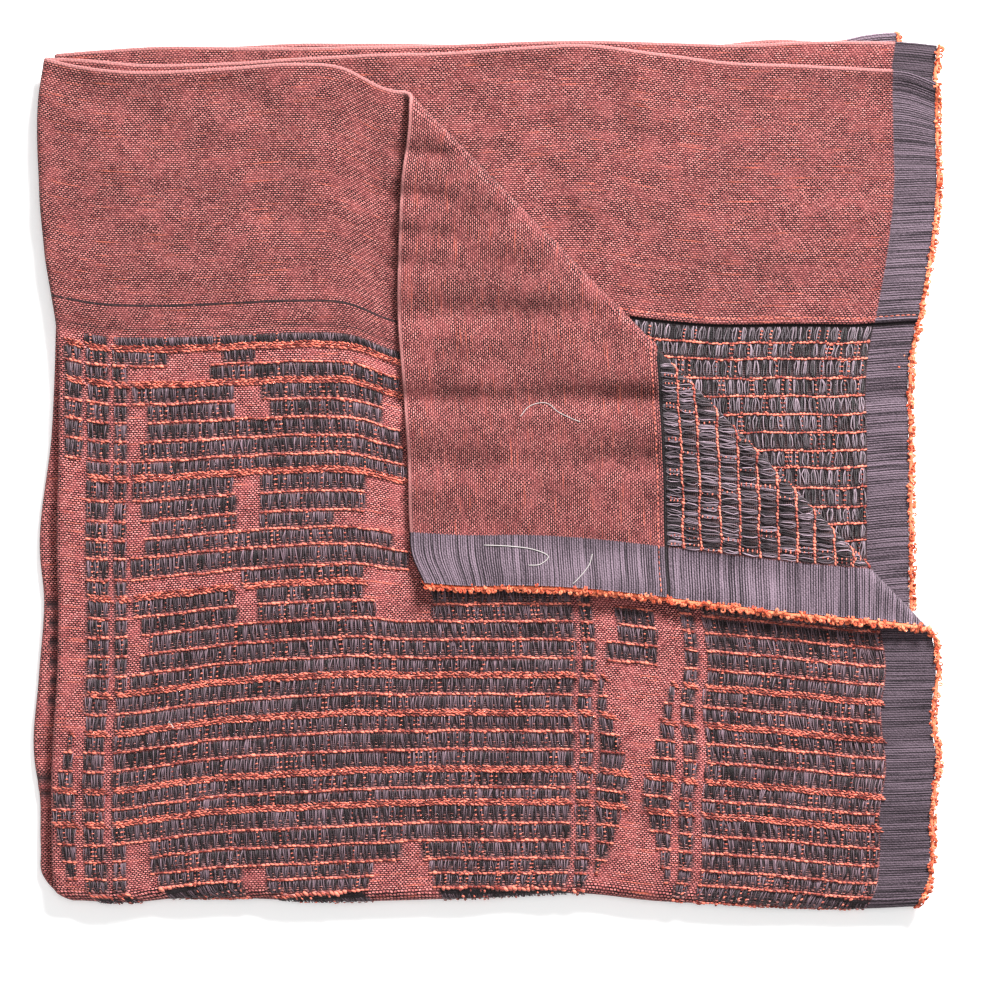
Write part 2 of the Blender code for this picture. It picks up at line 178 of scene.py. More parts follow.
# Small waves over the whole pack: turn for each millimetre across and along, and the turn that each starts at
RIPPLES = (
    (0.14, 0.05, 0.4),
    (-0.06, 0.17, 2.1),
    (0.11, -0.12, 4.0),
    (0.05, 0.24, 5.2),
)

# How far a straight row of the weave bows towards the bottom fold: distance across, bow
BOW = (
    (-433.0, 0.0),
    (-150.0, 0.0),
    (-60.0, 5.0),
    (0.0, 10.5),
    (20.0, 10.0),
    (56.0, 8.3),
    (86.5, 4.7),
    (125.0, 1.2),
    (144.5, 0.0),
    (193.5, -1.0),
    (248.0, 2.0),
    (312.0, 3.6),
    (351.0, 5.0),
    (380.0, 6.5),
    (402.0, 8.0),
    (433.0, 8.4),
)

# How much of that bow each woven place shows: place, share
BOW_GROWTH = (
    (-60.0, 0.0),
    (-5.0, 0.7),
    (19.5, 0.85),
    (113.0, 1.0),
    (150.0, 0.9),
    (205.0, 0.45),
    (241.0, 0.15),
    (277.0, 0.0),
    (418.0, 0.0),
)

# How far the rows near the selvedge sag besides, on the part that is turned back: woven place, sag
SAG = (
    (140.0, 0.0),
    (165.0, 2.0),
    (190.0, 4.0),
    (215.0, 5.0),
    (241.0, 4.0),
    (262.0, 2.0),
    (277.0, 0.5),
    (286.0, 0.0),
)

# The woven places of the coral ribs, from the hem's facing down to the bottom fold
RIBS = (
    *(277.0, 269.0, 259.5, 250.5, 241.5, 232.5, 223.5, 215.0, 205.0, 195.5, 187.0),
    *(178.5, 168.5, 159.5, 150.5, 141.5, 132.0, 122.5, 113.0, 103.5, 93.5, 84.5),
    *(75.0, 64.5, 55.5, 47.5, 37.5, 28.5, 19.5, 12.0, 5.0, -2.0, -9.0),
)
THICK_RIBS = (0, 2, 7, 13, 18, 20, 23, 25)
ROWS = 32


def column(table: tuple[tuple[float, ...], ...], number: int) -> np.ndarray:
    """Return one column of a table."""
    return np.array([row[number] for row in table])


def follow(stations: np.ndarray, values: np.ndarray, at: np.ndarray) -> np.ndarray:
    """Return the smooth curve through the values, read at each place: cubic pieces with matching slopes.

    Args:
        stations: Rising places where the curve is known.
        values: The curve's value at each station.
        at: Places to read it at.

    Returns:
        The curve's value at each place, level beyond its ends.
    """
    slopes = np.gradient(values, stations)
    at = np.clip(at, stations[0], stations[-1])
    row = np.clip(np.searchsorted(stations, at, side="right") - 1, 0, len(stations) - 2)
    step = stations[row + 1] - stations[row]
    share = (at - stations[row]) / step
    rest = 1.0 - share
    level = values[row] * (1.0 + 2.0 * share) * rest**2 + values[row + 1] * (3.0 - 2.0 * share) * share**2
    return level + step * share * rest * (slopes[row] * rest - slopes[row + 1] * share)


def ease(share: np.ndarray) -> np.ndarray:
    """Return a soft step from 0 to 1: three times the share squared less twice its cube."""
    share = np.clip(share, 0.0, 1.0)
    return share * share * (3.0 - 2.0 * share)


def soft(at: np.ndarray, start: float, length: float) -> np.ndarray:
    """Return a soft step from 0 at the start to 1 at a length past it."""
    return ease((at - start) / length)


@dataclass(frozen=True)
class Fold:
    """The sheet's sizes and the way that it is folded, in millimetres.

    A pair whose name ends in "step" is where a soft step starts, and its length.
    """

    sheet: float = 1.4
    facing: float = 1.0
    facing_depth: float = 131.0
    band: float = 26.0
    left_start: float = -217.0
    right_edge: float = 213.0
    bottom_start: float = -209.5
    top_edge: float = 203.0
    left_radius: float = 2.0
    bottom_radius: float = 3.3
    corner_radius: float = 2.8
    corner_lies: float = 2.6
    corner_settles: float = 60.0
    corner_drop: float = 10.0
    edge_lift: float = 3.8
    rim_lift: float = 1.5
    corner_curl: float = 4.5
    rim_width: float = 5.5
    corner_from: tuple[float, float] = (-41.5, 189.0)
    corner_to: tuple[float, float] = (223.0, -83.0)
    ripple: float = 0.3
    crease: float = 1.4
    floor_limit: float = -2.8
    rounding_step: tuple[float, float] = (195.0, 33.0)
    hem_share_step: tuple[float, float] = (0.86, 0.14)
    lift_width: float = 22.0
    lift_start: float = 16.0
    curl_step: tuple[float, float] = (404.0, 18.0)
    curl_width: float = 9.0
    sag_step: tuple[float, float] = (300.0, 40.0)
    covered_to: tuple[float, float] = (192.0, 168.0)
    covered_past: float = -300.0
    reverse_past: tuple[float, float] = (0.5, -12.0)

    @property
    def quarter_left(self) -> float:
        """Return the length of the left fold's quarter turn."""
        return 0.5 * math.pi * self.left_radius

    @property
    def quarter_bottom(self) -> float:
        """Return the length of the bottom fold's quarter turn."""
        return 0.5 * math.pi * self.bottom_radius

    @property
    def half_width(self) -> float:
        """Return the distance from the left fold to a selvedge."""
        return self.right_edge - self.left_start + self.quarter_left

    @property
    def half_length(self) -> float:
        """Return the distance from the bottom fold to a hem."""
        return self.top_edge - self.bottom_start + self.quarter_bottom

    @property
    def facing_line(self) -> float:
        """Return the woven place of the facing's sewn edge."""
        return self.half_length - self.facing_depth

    @property
    def middle_height(self) -> float:
        """Return the height halfway between the four layers."""
        return self.bottom_radius + self.left_radius + 0.5 * self.sheet

    @property
    def top_height(self) -> float:
        """Return the height of the middle of the top layer."""
        return 2.0 * self.middle_height - 0.5 * self.sheet

    def hairpin(self, distance: np.ndarray, radius: float) -> tuple[np.ndarray, ...]:
        """Return how far a fold's path runs and rises, and the two parts of its outward normal.

        The path is a half circle of the radius between two straight runs.

        Args:
            distance: Signed distances from the middle of the fold.
            radius: The fold's radius.

        Returns:
            The run, the rise, and the normal's two parts.
        """
        angle = np.clip(distance / radius, -0.5 * math.pi, 0.5 * math.pi)
        straight = np.maximum(np.abs(distance) - 0.5 * math.pi * radius, 0.0)
        return straight - radius * np.cos(angle), radius * np.sin(angle), -np.cos(angle), np.sin(angle)

    def of_layer(
        self, table: tuple[tuple[float, ...], ...], at: np.ndarray, across: np.ndarray, along: np.ndarray
    ) -> np.ndarray:
        """Return the table's value for the layer that each point lies in.

        Args:
            table: A place and the four layers' values in each row.
            at: The place of each point in the table's first column.
            across: Distances across the sheet.
            along: Distances along the sheet.

        Returns:
            The value for each point.
        """
        stations = column(table, 0)
        layers = (follow(stations, column(table, number), at) for number in (1, 2, 3, 4))
        first, second, third, fourth = layers
        upper = np.where(across >= 0.0, first, second)
        lower = np.where(across >= 0.0, fourth, third)
        return np.where(along >= 0.0, upper, lower)

    def folded(self, across: np.ndarray, along: np.ndarray, depth: np.ndarray) -> tuple[np.ndarray, ...]:
        """Return each point's place in the four layers, before the corner is turned back.

        Args:
            across: Distances across the sheet.
            along: Distances along the sheet.
            depth: Distances from the sheet's middle, towards its face.

        Returns:
            The two places on the plan and the height.
        """
        run, rise, normal_run, normal_rise = self.hairpin(across, self.left_radius)
        run = run + depth * normal_run
        rise = rise + depth * normal_rise
        climb, height, normal_climb, normal_height = self.hairpin(along, self.bottom_radius)
        climb = climb + rise * normal_climb
        height = height + rise * normal_height + self.middle_height
        wide = np.clip(run / (self.right_edge - self.left_start), 0.0, 1.0)
        long = np.clip(climb / (self.top_edge - self.bottom_start), 0.0, 1.0)
        plain_x = self.left_start + run
        plain_y = self.bottom_start + climb
        pairs = column(LEFT_FOLDS, 0)
        upper = follow(pairs, column(LEFT_FOLDS, 1), plain_y)
        lower = follow(pairs, column(LEFT_FOLDS, 2), plain_y)
        left_bulge = self.left_radius + 0.5 * self.sheet
        bottom_bulge = self.bottom_radius + left_bulge
        left = np.where(along >= 0.0, upper, lower) + left_bulge - self.left_start
        right = self.of_layer(SELVEDGES, plain_y, across, along) - self.right_edge
        reach = follow(column(BOTTOM_FOLD, 0), column(BOTTOM_FOLD, 1), plain_x)
        bottom = reach + bottom_bulge - self.bottom_start
        top = self.of_layer(HEM_EDGES, plain_x, across, along) - self.top_edge
        rounded = np.where(along > 0.0, -self.corner_drop * soft(plain_x, *self.rounding_step), 0.0)
        top = (top - rounded) * ease(long) + rounded * soft(long, *self.hem_share_step)
        x = plain_x + left * ease(1.0 - wide) + right * ease(wide)
        y = plain_y + bottom * ease(1.0 - long) + top
        return x, y, height

    def corner_frame(self) -> tuple[np.ndarray, np.ndarray]:
        """Return a point on the line where the corner starts to turn, and the direction across it."""
        start = np.array(self.corner_from)
        run = np.array(self.corner_to) - start
        across = np.array((-run[1], run[0])) / np.hypot(run[0], run[1])
        return start - across * (self.corner_radius + 0.5 * self.sheet), across

    def past_corner(self, x: np.ndarray, y: np.ndarray) -> np.ndarray:
        """Return how far each point of the plan lies past the line where the corner starts to turn."""
        start, across = self.corner_frame()
        return (x - start[0]) * across[0] + (y - start[1]) * across[1]

    def turned(
        self, x: np.ndarray, y: np.ndarray, height: np.ndarray, along: np.ndarray, across: np.ndarray
    ) -> tuple[np.ndarray, ...]:
        """Carry the first layer's points past the corner's line round a half circle, back and gently down.

        Args:
            x: Places on the plan.
            y: Places on the plan.
            height: Heights.
            along: Distances along the sheet.
            across: Distances across the sheet.

        Returns:
            The new places and heights.
        """
        past = self.past_corner(x, y)
        depth = height - self.top_height
        angle = np.clip(past / self.corner_radius, 0.0, math.pi)
        beyond = np.maximum(past - math.pi * self.corner_radius, 0.0)
        drop = (2.0 * self.corner_radius - self.corner_lies) * ease(beyond / self.corner_settles)
        lift = self.edge_lift * ease((across - self.half_width) / self.lift_width + 1.0)
        drop = drop - lift * ease(beyond / self.lift_start)
        out = (self.corner_radius - depth) * np.sin(angle) - beyond
        rise = self.corner_radius + (depth - self.corner_radius) * np.cos(angle) - drop
        moves = (across > self.quarter_left) & (along > self.quarter_bottom) & (past > 0.0)
        direction = self.corner_frame()[1]
        x = np.where(moves, x + (out - past) * direction[0], x)
        y = np.where(moves, y + (out - past) * direction[1], y)
        return x, y, np.where(moves, self.top_height + rise, height)

    def swell(self, x: np.ndarray, y: np.ndarray) -> np.ndarray:
        """Return how far creases and ripples lift or lower the pack's top: bell curves and a few waves."""
        total = np.zeros_like(x)
        for from_x, from_y, to_x, to_y, half_width, height in CREASES:
            run_x = to_x - from_x
            run_y = to_y - from_y
            share = np.clip(((x - from_x) * run_x + (y - from_y) * run_y) / (run_x**2 + run_y**2), 0.0, 1.0)
            away = np.hypot(x - from_x - share * run_x, y - from_y - share * run_y)
            total += self.crease * height * np.exp(-((away / half_width) ** 2))
        for wide, long, start in RIPPLES:
            total += self.ripple * np.sin(wide * x + long * y + start + 0.8 * np.sin(0.031 * x - 0.027 * y))
        return total

    def rim(self, x: np.ndarray, across: np.ndarray, along: np.ndarray) -> np.ndarray:
        """Return how far a hem's edge curls up: a bell curve from the hem, in waves across the pack.

        The second layer's corner curls up further, over a wider bell curve.
        """
        waves = 0.75 + 0.35 * np.sin(0.055 * x + 1.0) + 0.25 * np.sin(0.13 * x + 2.2)
        share = np.where(along > 0.0, waves, 0.3)
        inside = self.half_length - np.abs(along)
        corner = np.where(along > 0.0, self.corner_curl * soft(-across, *self.curl_step), 0.0)
        curl = corner * np.exp(-((inside / self.curl_width) ** 2))
        return self.rim_lift * share * np.exp(-((inside / self.rim_width) ** 2)) + curl

    def along(self, across: np.ndarray, woven: np.ndarray) -> np.ndarray:
        """Return each point's place along the sheet: its woven place less the bow and sag of its row.

        On the second layer the rows rise towards the selvedge instead, by two soft steps.
        """
        bow = follow(column(BOW, 0), column(BOW, 1), across)
        bow = bow * follow(column(BOW_GROWTH, 0), column(BOW_GROWTH, 1), woven)
        sag = follow(column(SAG, 0), column(SAG, 1), woven) * soft(across, *self.sag_step)
        rise = 3.5 * soft(-across, 300.0, 110.0) + 3.0 * soft(-across, 395.0, 35.0)
        return woven - bow - sag + rise * ease(woven / 60.0) * ease((self.half_length - woven) / 80.0)

    def placed(self, across: np.ndarray, woven: np.ndarray, depth: np.ndarray) -> np.ndarray:
        """Return the final place of points of the flat sheet, folded, turned and swelled.

        Args:
            across: Distances across the sheet.
            woven: Places along the sheet, counted with the weave's rows.
            depth: Distances from the sheet's middle, towards its face.

        Returns:
            Points in metres, one in each row.
        """
        across, woven, depth = (np.asarray(value, float).ravel() for value in (across, woven, depth))
        along = self.along(across, woven)
        x, y, height = self.folded(across, along, depth)
        x, y, height = self.turned(x, y, height, along, across)
        height = np.maximum(height * (1.0 + self.swell(x, y) / self.top_height), 0.0)
        return np.stack((x, y, height + self.rim(x, across, along)), axis=1) * MM

    def before_turn(self, across: np.ndarray, woven: np.ndarray) -> tuple[np.ndarray, np.ndarray]:
        """Return each point's place on the plan before the corner is turned back."""
        across, woven = (np.asarray(value, float).ravel() for value in (across, woven))
        return self.folded(across, self.along(across, woven), np.zeros_like(across))[:2]

    def face_shows(self, across: np.ndarray, woven: np.ndarray) -> np.ndarray:
        """Return where the first layer's face is neither turned under, nor under the corner or the pack."""
        x, y = self.before_turn(across, woven)
        past = self.past_corner(x, y)
        direction = self.corner_frame()[1]
        mirror_x = x - 2.0 * past * direction[0]
        mirror_y = y - 2.0 * past * direction[1]
        covered = (mirror_x < self.covered_to[0]) & (mirror_y < self.covered_to[1])
        covered = covered & (past > self.covered_past)
        flat = (np.asarray(value, float).ravel() for value in (across, woven))
        above_floor = self.along(*flat) > self.floor_limit
        return (past < 0.0) & ~covered & above_floor

    def reverse_shows(self, across: np.ndarray, woven: np.ndarray) -> np.ndarray:
        """Return where the sheet's reverse shows: on the turned corner, or on the second layer beside it."""
        x, y = self.before_turn(across, woven)
        past = self.past_corner(x, y)
        on_corner, beside = self.reverse_past
        return np.where(np.asarray(across).ravel() > 0.0, past > on_corner, past > beside)


FOLD = Fold()


@dataclass(frozen=True)
class Block:
    """A block of floats on the chart: its rows, and its two sides at the first of them and at the last."""

    first_row: int
    last_row: int
    start: float
    end: float
    last_start: float
    last_end: float

    def span(self, row: int) -> tuple[float, float] | None:
        """Return where the block starts and ends in a row, its sides straight between the two ends."""
        if not self.first_row <= row <= self.last_row:
            return None
        share = (row - self.first_row) / max(1, self.last_row - self.first_row)
        start = self.start + (self.last_start - self.start) * share
        end = self.end + (self.last_end - self.end) * share
        return start, end


def straight(first_row: int, last_row: int, start: float, end: float) -> Block:
    """Return a block with upright sides."""
    return Block(first_row, last_row, start, end, start, end)


# Where the wide field beside the selvedge starts across
WIDE_FIELD = 315.3


@dataclass(frozen=True)
class Chart:
    """The weaver's chart: columns, bars, steps and an hourglass of floats on the plain ground."""

    blocks: tuple[Block, ...] = (
        straight(1, 6, 4.0, 12.5),
        Block(21, 24, 8.5, 10.5, 2.0, 12.5),
        Block(25, 28, 1.5, 13.0, 8.0, 13.5),
        Block(0, 31, 14.5, 25.5, 17.0, 28.0),
        Block(1, 18, 28.0, 34.5, 30.0, 36.0),
        straight(19, 31, 31.0, 38.0),
        straight(0, 0, 30.0, 176.0),
        straight(1, 1, 36.5, 56.0),
        straight(1, 1, 84.0, 100.5),
        straight(2, 2, 77.5, 174.0),
        straight(3, 3, 37.5, 89.5),
        straight(4, 4, 45.5, 89.5),
        Block(3, 4, 103.0, 164.5, 107.5, 163.5),
        Block(5, 7, 45.5, 173.0, 37.5, 176.0),
        Block(8, 10, 38.0, 89.0, 47.5, 90.5),
        straight(8, 9, 102.0, 154.5),
        straight(10, 10, 102.0, 138.5),
        Block(11, 12, 44.5, 168.5, 37.5, 176.5),
        straight(13, 13, 92.5, 153.5),
        Block(14, 15, 38.5, 88.5, 42.5, 90.0),
        Block(14, 15, 100.5, 152.5, 100.5, 158.5),
        straight(14, 15, 187.0, 255.5),
        Block(16, 18, 46.5, 255.5, 38.0, 255.5),
        straight(19, 26, 38.0, 255.5),
        straight(27, 27, 49.5, 255.5),
        straight(28, 28, 49.5, 173.0),
        Block(29, 31, 53.0, 94.5, 53.0, 94.5),
        Block(29, 31, 107.0, 160.0, 107.0, 156.0),
        Block(28, 31, 184.0, 255.5, 192.0, 255.5),
        straight(0, 31, 258.7, 265.2),
        Block(19, 24, 268.5, 270.8, 268.5, 283.0),
        Block(25, 29, 268.5, 283.0, 268.5, 271.0),
        straight(15, 16, 277.0, 296.0),
        straight(17, 17, 271.0, 296.0),
        Block(19, 24, 303.0, 305.3, 290.5, 305.3),
        Block(25, 29, 292.0, 305.3, 303.0, 305.3),
        straight(0, 31, 309.0, WIDE_FIELD),
        straight(0, 3, WIDE_FIELD, 408.0),
        straight(4, 31, 320.0, 408.0),
        straight(0, 31, -412.0, -292.0),
        straight(0, 31, -286.0, -45.0),
        straight(0, 31, -38.0, -14.0),
        Block(15, 20, -11.0, -2.5, -11.0, -7.0),
        straight(24, 24, -10.0, -0.5),
        straight(25, 25, -6.0, -1.5),
    )

    plain_foot: float = 1.4

    def spans(self, row: int) -> list[tuple[float, float]]:
        """Return where each run of floats starts and ends in a row."""
        return [span for span in (block.span(row) for block in self.blocks) if span is not None]

    def face_spans(self, row: int) -> list[tuple[float, float]]:
        """Return the runs of a row on the half of the sheet whose face shows."""
        return [span for span in self.spans(row) if span[0] > 0.0]

    def reverse_spans(self, row: int) -> list[tuple[float, float]]:
        """Return the runs of a row beside the selvedges, where the reverse shows."""
        return [span for span in self.spans(row) if span[0] >= WIDE_FIELD or span[1] < -280.0]

    def joined(self, rib: int) -> list[tuple[float, float]]:
        """Return the runs of a rib: wherever floats lie above it or below it, joined where they meet."""
        both = sorted(self.spans(rib) + self.spans(rib + 1))
        runs: list[tuple[float, float]] = []
        for start, end in both:
            if runs and start <= runs[-1][1] + 0.5:
                runs[-1] = (runs[-1][0], max(end, runs[-1][1]))
            else:
                runs.append((start, end))
        return runs

    def filled(self, across: np.ndarray, woven: np.ndarray, face_side: np.ndarray) -> np.ndarray:
        """Return 1 where a point lies in a run of floats, and 0 on the plain ground."""
        result = np.zeros(across.shape)
        woven = np.abs(woven)
        first = FOLD.facing_line - np.where(face_side > 0.5, 4.0, 0.3)
        row = np.searchsorted(-np.array(RIBS), -woven, side="left")
        for number in range(len(RIBS)):
            inside = (row == number) & (woven < first)
            for start, end in self.spans(number):
                result[inside & (across >= start) & (across <= end)] = 1.0
        return result

    def above_foot(self, woven: np.ndarray, face_side: np.ndarray) -> np.ndarray:
        """Return 0 in the narrow plain foot of each row, just above its rib on the face, and 1 elsewhere."""
        ribs = np.array(RIBS)[::-1]
        reach = np.abs(woven)
        below = ribs[np.maximum(np.searchsorted(ribs, reach, side="right") - 1, 0)]
        return np.where((reach - below < self.plain_foot) & (face_side > 0.5), 0.0, 1.0)


CHART = Chart()


@dataclass
class Shape:
    """The points and faces of a piece as they are gathered, with one shade for each point."""

    points: list[np.ndarray] = field(default_factory=list)
    faces: list[np.ndarray] = field(default_factory=list)
    shades: list[np.ndarray] = field(default_factory=list)
    count: int = 0

    def add(self, points: np.ndarray, faces: list[np.ndarray], shades: np.ndarray) -> None:
        """Add points and the faces between them.

        Args:
            points: Points in metres, one in each row.
            faces: Arrays of faces, all of one array with as many corners, that number these points from 0.
            shades: A number from 0 to 1 for each point, read by the finish.
        """
        self.points.append(points)
        self.shades.append(shades)
        self.faces.extend(array + self.count for array in faces)
        self.count += len(points)

    def mesh(self, name: str) -> bpy.types.Mesh:
        """Return the mesh, smooth, with its shades in the attribute "shade"."""
        mesh = bpy.data.meshes.new(name)
        faces = [face for array in self.faces for face in array.tolist()]
        mesh.from_pydata(np.concatenate(self.points).tolist(), [], faces)
        shade = mesh.attributes.new("shade", "FLOAT", "POINT")
        shade.data.foreach_set("value", np.concatenate(self.shades).astype(np.float32))
        mesh.shade_smooth()
        return mesh


def tube_faces(count: int, rings: int, sides: int) -> list[np.ndarray]:
    """Return the faces of closed tubes: squares between neighbouring rings, and a cap at each end.

    Args:
        count: The number of tubes, all alike.
        rings: The number of rings in each tube.
        sides: The number of points in each ring.

    Returns:
        An array of the sides' faces and one of the caps.
    """
    ring = np.arange(rings - 1)[:, None] * sides
    side = np.arange(sides)[None, :]
    after = (side + 1) % sides
    corners = (ring + side, ring + after, ring + sides + after, ring + sides + side)
    walls = np.stack(corners, axis=2).reshape(-1, 4)
    caps = np.array((list(range(sides))[::-1], [(rings - 1) * sides + number for number in range(sides)]))
    starts = (np.arange(count) * rings * sides)[:, None, None]
    return [(walls[None] + starts).reshape(-1, 4), (caps[None] + starts).reshape(-1, sides)]


def paths_of(across: np.ndarray, woven: np.ndarray, depth: np.ndarray) -> np.ndarray:
    """Return the paths of tubes from their points' three sizes, spread to one shape."""
    sizes = np.stack(np.broadcast_arrays(across, woven, depth), axis=-1)
    return sizes.reshape(-1, *sizes.shape[-2:])


def tube_points(
    paths: np.ndarray, radius: np.ndarray, sides: int, upright: np.ndarray, flatness: float = 1.0
) -> np.ndarray:
    """Return the points of tubes: each ring is the path's point plus a circle across the path's tangent.

    Args:
        paths: Tubes by points by 3.
        radius: Tubes by points, or a shape that spreads to it.
        sides: The number of points in each ring.
        upright: A direction, or one for each tube, that never lies along the path.
        flatness: The height of the ring over its width.

    Returns:
        Tubes by points by sides by 3.
    """
    tangent = np.gradient(paths, axis=1)
    tangent /= np.linalg.norm(tangent, axis=2, keepdims=True)
    reference = np.broadcast_to(np.asarray(upright, float).reshape(-1, 1, 3), paths.shape)
    aside = np.cross(tangent, reference)
    aside /= np.linalg.norm(aside, axis=2, keepdims=True)
    above = np.cross(aside, tangent)
    turn = FULL_TURN * np.arange(sides) / sides
    width = np.broadcast_to(radius, paths.shape[:2])[:, :, None, None]
    circle = aside[:, :, None] * np.cos(turn)[None, None, :, None]
    circle = circle + flatness * above[:, :, None] * np.sin(turn)[None, None, :, None]
    return paths[:, :, None] + width * circle


def add_flat_tubes(
    shape: Shape,
    paths: np.ndarray,
    radius: np.ndarray,
    sides: int,
    shades: np.ndarray,
    upright: np.ndarray | tuple[float, float, float] = (0.0, 0.0, 1.0),
    flatness: float = 1.0,
) -> None:
    """Draw tubes on the flat sheet, whose third size is depth, and carry them round the folds.

    Args:
        shape: The piece that gains them.
        paths: Tubes by points by 3: across, woven place and depth.
        radius: Tubes by points, or a shape that spreads to it.
        sides: The number of points in each ring.
        shades: Tubes by points, or a shape that spreads to it.
        upright: As in tube_points.
        flatness: As in tube_points.
    """
    if len(paths) == 0:
        return
    flat = tube_points(paths, radius, sides, np.asarray(upright), flatness).reshape(-1, 3)
    values = np.broadcast_to(np.broadcast_to(shades, paths.shape[:2])[:, :, None], (*paths.shape[:2], sides))
    faces = tube_faces(len(paths), paths.shape[1], sides)
    shape.add(FOLD.placed(flat[:, 0], flat[:, 1], flat[:, 2]), faces, values.ravel())


def linear(red: int, green: int, blue: int) -> tuple[float, float, float, float]:
    """Return a screen colour as the linear colour that a shader takes."""
    parts = (value / 255.0 for value in (red, green, blue))
    shares = [value / 12.92 if value <= 0.04045 else ((value + 0.055) / 1.055) ** 2.4 for value in parts]
    return shares[0], shares[1], shares[2], 1.0


Value = float | tuple[float, ...] | bpy.types.NodeSocket


class Recipe:
    """A material's nodes as they are put together."""

    def __init__(self, name: str, roughness: float, sheen: float) -> None:
        """Start a matt material.

        Args:
            name: The material's name.
            roughness: The shader's roughness.
            sheen: The weight of the fibres' sheen.
        """
        self.material = bpy.data.materials.new(name)
        self.material.use_nodes = True
        self.tree = self.material.node_tree
        self.shader = self.tree.nodes["Principled BSDF"]
        self.shader.inputs["Roughness"].default_value = roughness
        self.shader.inputs["Metallic"].default_value = 0.0
        self.shader.inputs["Specular IOR Level"].default_value = 0.2
        self.shader.inputs["Sheen Weight"].default_value = sheen
        self.shader.inputs["Sheen Roughness"].default_value = 0.5

    def node(self, kind: str, inputs: dict[str | int, Value], **settings: str | bool | int) -> bpy.types.Node:
        """Add a node, set its settings, and set or link its inputs."""
        made = self.tree.nodes.new(kind)
        for key, value in settings.items():
            setattr(made, key, value)
        for key, value in inputs.items():
            if isinstance(value, bpy.types.NodeSocket):
                self.tree.links.new(value, made.inputs[key])
            else:
                made.inputs[key].default_value = value
        return made

    def math(
        self, operation: str, first: Value, second: Value = 0.0, third: Value = 0.0
    ) -> bpy.types.NodeSocket:
        """Return the result of a sum on numbers."""
        inputs = {0: first, 1: second, 2: third}
        return self.node("ShaderNodeMath", inputs, operation=operation).outputs[0]

    def times(self, first: Value, second: Value) -> bpy.types.NodeSocket:
        """Return the product of two numbers."""
        return self.math("MULTIPLY", first, second)

    def plus(self, first: Value, second: Value) -> bpy.types.NodeSocket:
        """Return the sum of two numbers."""
        return self.math("ADD", first, second)

    def minus(self, first: Value, second: Value) -> bpy.types.NodeSocket:
        """Return the first number less the second."""
        return self.math("SUBTRACT", first, second)

    def line(self, value: Value, slope: float, foot: Value) -> bpy.types.NodeSocket:
        """Return the number times the slope, and the foot added."""
        return self.math("MULTIPLY_ADD", value, slope, foot)

    def soft_step(self, value: Value, low: float, high: float) -> bpy.types.NodeSocket:
        """Return a number that goes softly from 0 at low to 1 at high."""
        inputs = {"Value": value, "From Min": low, "From Max": high, "To Min": 0.0, "To Max": 1.0}
        return self.node("ShaderNodeMapRange", inputs, interpolation_type="SMOOTHSTEP").outputs["Result"]

    def mix(self, share: Value, first: Value, second: Value, blend: str = "MIX") -> bpy.types.NodeSocket:
        """Return a mix of two colours."""
        made = self.tree.nodes.new("ShaderNodeMix")
        made.data_type = "RGBA"
        made.blend_type = blend
        for socket, value in ((made.inputs[0], share), (made.inputs[6], first), (made.inputs[7], second)):
            if isinstance(value, bpy.types.NodeSocket):
                self.tree.links.new(value, socket)
            else:
                socket.default_value = value
        return made.outputs[2]

    def scaled(self, vector: bpy.types.NodeSocket, scale: tuple[float, float, float]) -> bpy.types.NodeSocket:
        """Return a place stretched by a scale."""
        return self.node("ShaderNodeMapping", {"Vector": vector, "Scale": scale}).outputs[0]

    def noise(
        self, vector: bpy.types.NodeSocket, scale: tuple[float, float, float], detail: float = 2.0
    ) -> Value:
        """Return soft noise, about 0.5, at a stretched place."""
        inputs = {"Vector": self.scaled(vector, scale), "Scale": 1.0, "Detail": detail, "Roughness": 0.6}
        return self.node("ShaderNodeTexNoise", inputs).outputs[0]

    def attribute(self, name: str) -> bpy.types.NodeSocket:
        """Return one of the mesh's own numbers."""
        return self.node("ShaderNodeAttribute", {}, attribute_name=name).outputs["Fac"]

    def finish(self, colour: Value, height: Value, depth: float, strength: float = 1.0) -> bpy.types.Material:
        """Link the colour and the bump's height, and return the material."""
        self.tree.links.new(colour, self.shader.inputs["Base Color"])
        inputs = {"Height": height, "Distance": depth, "Strength": strength}
        bump = self.node("ShaderNodeBump", inputs)
        self.tree.links.new(bump.outputs[0], self.shader.inputs["Normal"])
        return self.material


